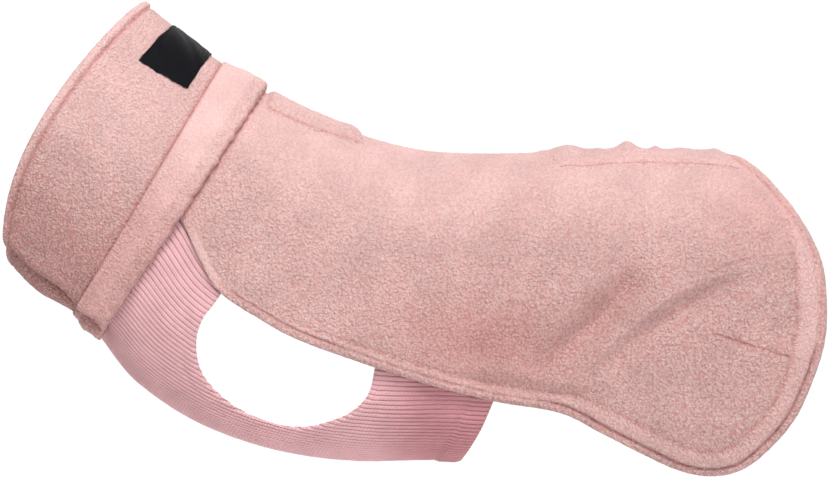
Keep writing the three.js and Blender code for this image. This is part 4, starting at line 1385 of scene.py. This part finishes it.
class PULLOVER_OT_stitching(bpy.types.Operator):
    """Sews the rows of stitches on the back's hems, the collar's rim and the spine strips"""
    bl_idname = "pullover.stitching"
    bl_label = "Stitching"

    def execute(self, context):
        sunk = 0.06 - STITCH_SINK
        hem = inside_line(np.linspace(0.12, 0.975, 420), True)
        tail = inside_line(np.linspace(0.97, 0.03, 260), False)
        station, angle = np.concatenate([hem, tail], axis=1)
        sew("hem_stitches", [cloth_point(station, angle * side, sunk) for side in (-1, 1)])
        station = np.full(400, rim_station(RIM_HEM_WIDTH + 0.3))
        angle = half_turned(np.linspace(0, 2 * math.pi, 400))
        sew("rim_stitches", [cloth_point(station, angle, sunk)])
        paths = []
        for from_x, to_x, half, edge in ((-78, -27, PLACKET_HALF, 0.45), (82, 194, CHANNEL_HALF, -0.15)):
            shares = np.linspace(spine_share(from_x), spine_share(to_x), 120)
            sway = strip_sway(np.linspace(from_x, to_x, 120), half == CHANNEL_HALF)
            for side in (-1, 1):
                place = spine_place(shares, side * (half - STRIP_SEAM) * sway)
                paths.append(cloth_point(*place, SEAM_GAP + edge + 0.1))
        sew("strip_stitches", paths)
        return {"FINISHED"}


class PULLOVER_OT_studio(bpy.types.Operator):
    """Sets up the pale floor, the soft lights and the camera"""
    bl_idname = "pullover.studio"
    bl_label = "Studio"

    def execute(self, context):
        look = context.scene.pullover_studio
        deselect()
        bpy.ops.mesh.primitive_plane_add(size=12, location=(0, 0, -look.floor_drop))
        floor = bpy.context.object
        floor.name = "floor"
        material, n, shader = new_material("studio_floor")
        grain = n.noise(n.place(), 30.0)["Fac"]
        n.fill(shader, Base_Color=n.blend(grain, (0.86, 0.86, 0.86), (0.89, 0.89, 0.89)), Roughness=0.9)
        glow = n.fill(n.add("ShaderNodeEmission"), Color=(0.93, 0.93, 0.93, 1))[0]
        seen = n.maths("MULTIPLY", n.add("ShaderNodeLightPath").outputs["Is Camera Ray"], 0.7)
        pale = n.mixed(seen, shader.outputs[0], glow)
        n.fill(material.node_tree.nodes["Material Output"], Surface=pale)
        floor.data.materials.append(material)
        for name, place, size, power, tint in (
            ("key_light", (-0.15, -1.5, 1.75), 1.1, look.key_power, (1.0, 0.98, 0.96)),
            ("fill_light", (1.3, -1.7, -0.3), 1.4, look.fill_power, (0.97, 0.98, 1.0)),
            ("back_light", (0.7, 1.9, 1.4), 1.4, look.back_power, (1.0, 0.99, 0.98)),
        ):
            bpy.ops.object.light_add(type="AREA", location=place)
            light = bpy.context.object
            light.name = name
            light.data.shape = "DISK"
            light.data.size = size
            light.data.energy = power
            light.data.color = tint
            aim = Vector((0, 0, -0.08)) - Vector(place)
            light.rotation_euler = aim.to_track_quat("-Z", "Y").to_euler()
        world = bpy.data.worlds.new("studio")
        context.scene.world = world
        world.use_nodes = True
        n = Nodes(world.node_tree)
        world.node_tree.nodes.clear()
        lit = n.fill(n.add("ShaderNodeBackground"), Color=(0.98, 0.985, 1.0, 1), Strength=look.sky)[0]
        seen = n.fill(n.add("ShaderNodeBackground"), Color=(1, 1, 1, 1), Strength=1.05)[0]
        either = n.mixed(n.add("ShaderNodeLightPath").outputs["Is Camera Ray"], lit, seen)
        n.fill(n.add("ShaderNodeOutputWorld"), Surface=either)
        place = (FAR_SIDE_FROM[0] * MM, -CAMERA_AWAY * MM, FAR_SIDE_FROM[1] * MM)
        bpy.ops.object.camera_add(location=place, rotation=(math.pi / 2, 0, 0))
        camera = bpy.context.object
        camera.name = "camera"
        camera.data.sensor_width = 36
        camera.data.lens = camera.data.sensor_width * CAMERA_AWAY / SEEN_ACROSS
        camera.data.clip_end = 30
        context.scene.camera = camera
        context.scene.view_settings.view_transform = "Standard"
        return {"FINISHED"}


class VIEW3D_PT_pullover(bpy.types.Panel):
    """Lists the pullover's sizes and the steps that make it"""
    bl_label = "Dog Pullover"
    bl_idname = "VIEW3D_PT_pullover"
    bl_space_type = "VIEW_3D"
    bl_region_type = "UI"
    bl_category = "Pullover"

    def draw(self, context):
        for group in GROUPS:
            look = getattr(context.scene, group)
            box = self.layout.box()
            box.label(text=group.split("_")[1].capitalize())
            for name in look.__annotations__:
                box.prop(look, name)
        for step in STEPS:
            self.layout.operator(step.bl_idname)


GROUPS = {
    "pullover_fleece": PulloverFleece,
    "pullover_knit": PulloverKnit,
    "pullover_sewing": PulloverSewing,
    "pullover_studio": PulloverStudio,
}
STEPS = (
    PULLOVER_OT_back_panel,
    PULLOVER_OT_chest_panel,
    PULLOVER_OT_collar,
    PULLOVER_OT_neck_band,
    PULLOVER_OT_spine_strips,
    PULLOVER_OT_neck_label,
    PULLOVER_OT_stitching,
    PULLOVER_OT_studio,
)
CLASSES = (*GROUPS.values(), *STEPS, VIEW3D_PT_pullover)


def register():
    for cls in CLASSES:
        bpy.utils.register_class(cls)
    for name, group in GROUPS.items():
        setattr(bpy.types.Scene, name, PointerProperty(type=group))


def unregister():
    for name in GROUPS:
        delattr(bpy.types.Scene, name)
    for cls in reversed(CLASSES):
        bpy.utils.unregister_class(cls)


def main():
    register()
    bpy.ops.pullover.studio()
    bpy.ops.pullover.back_panel()
    bpy.ops.pullover.chest_panel()
    bpy.ops.pullover.collar()
    bpy.ops.pullover.neck_band()
    bpy.ops.pullover.spine_strips()
    bpy.ops.pullover.neck_label()
    bpy.ops.pullover.stitching()


if __name__ == "__main__":
    main()
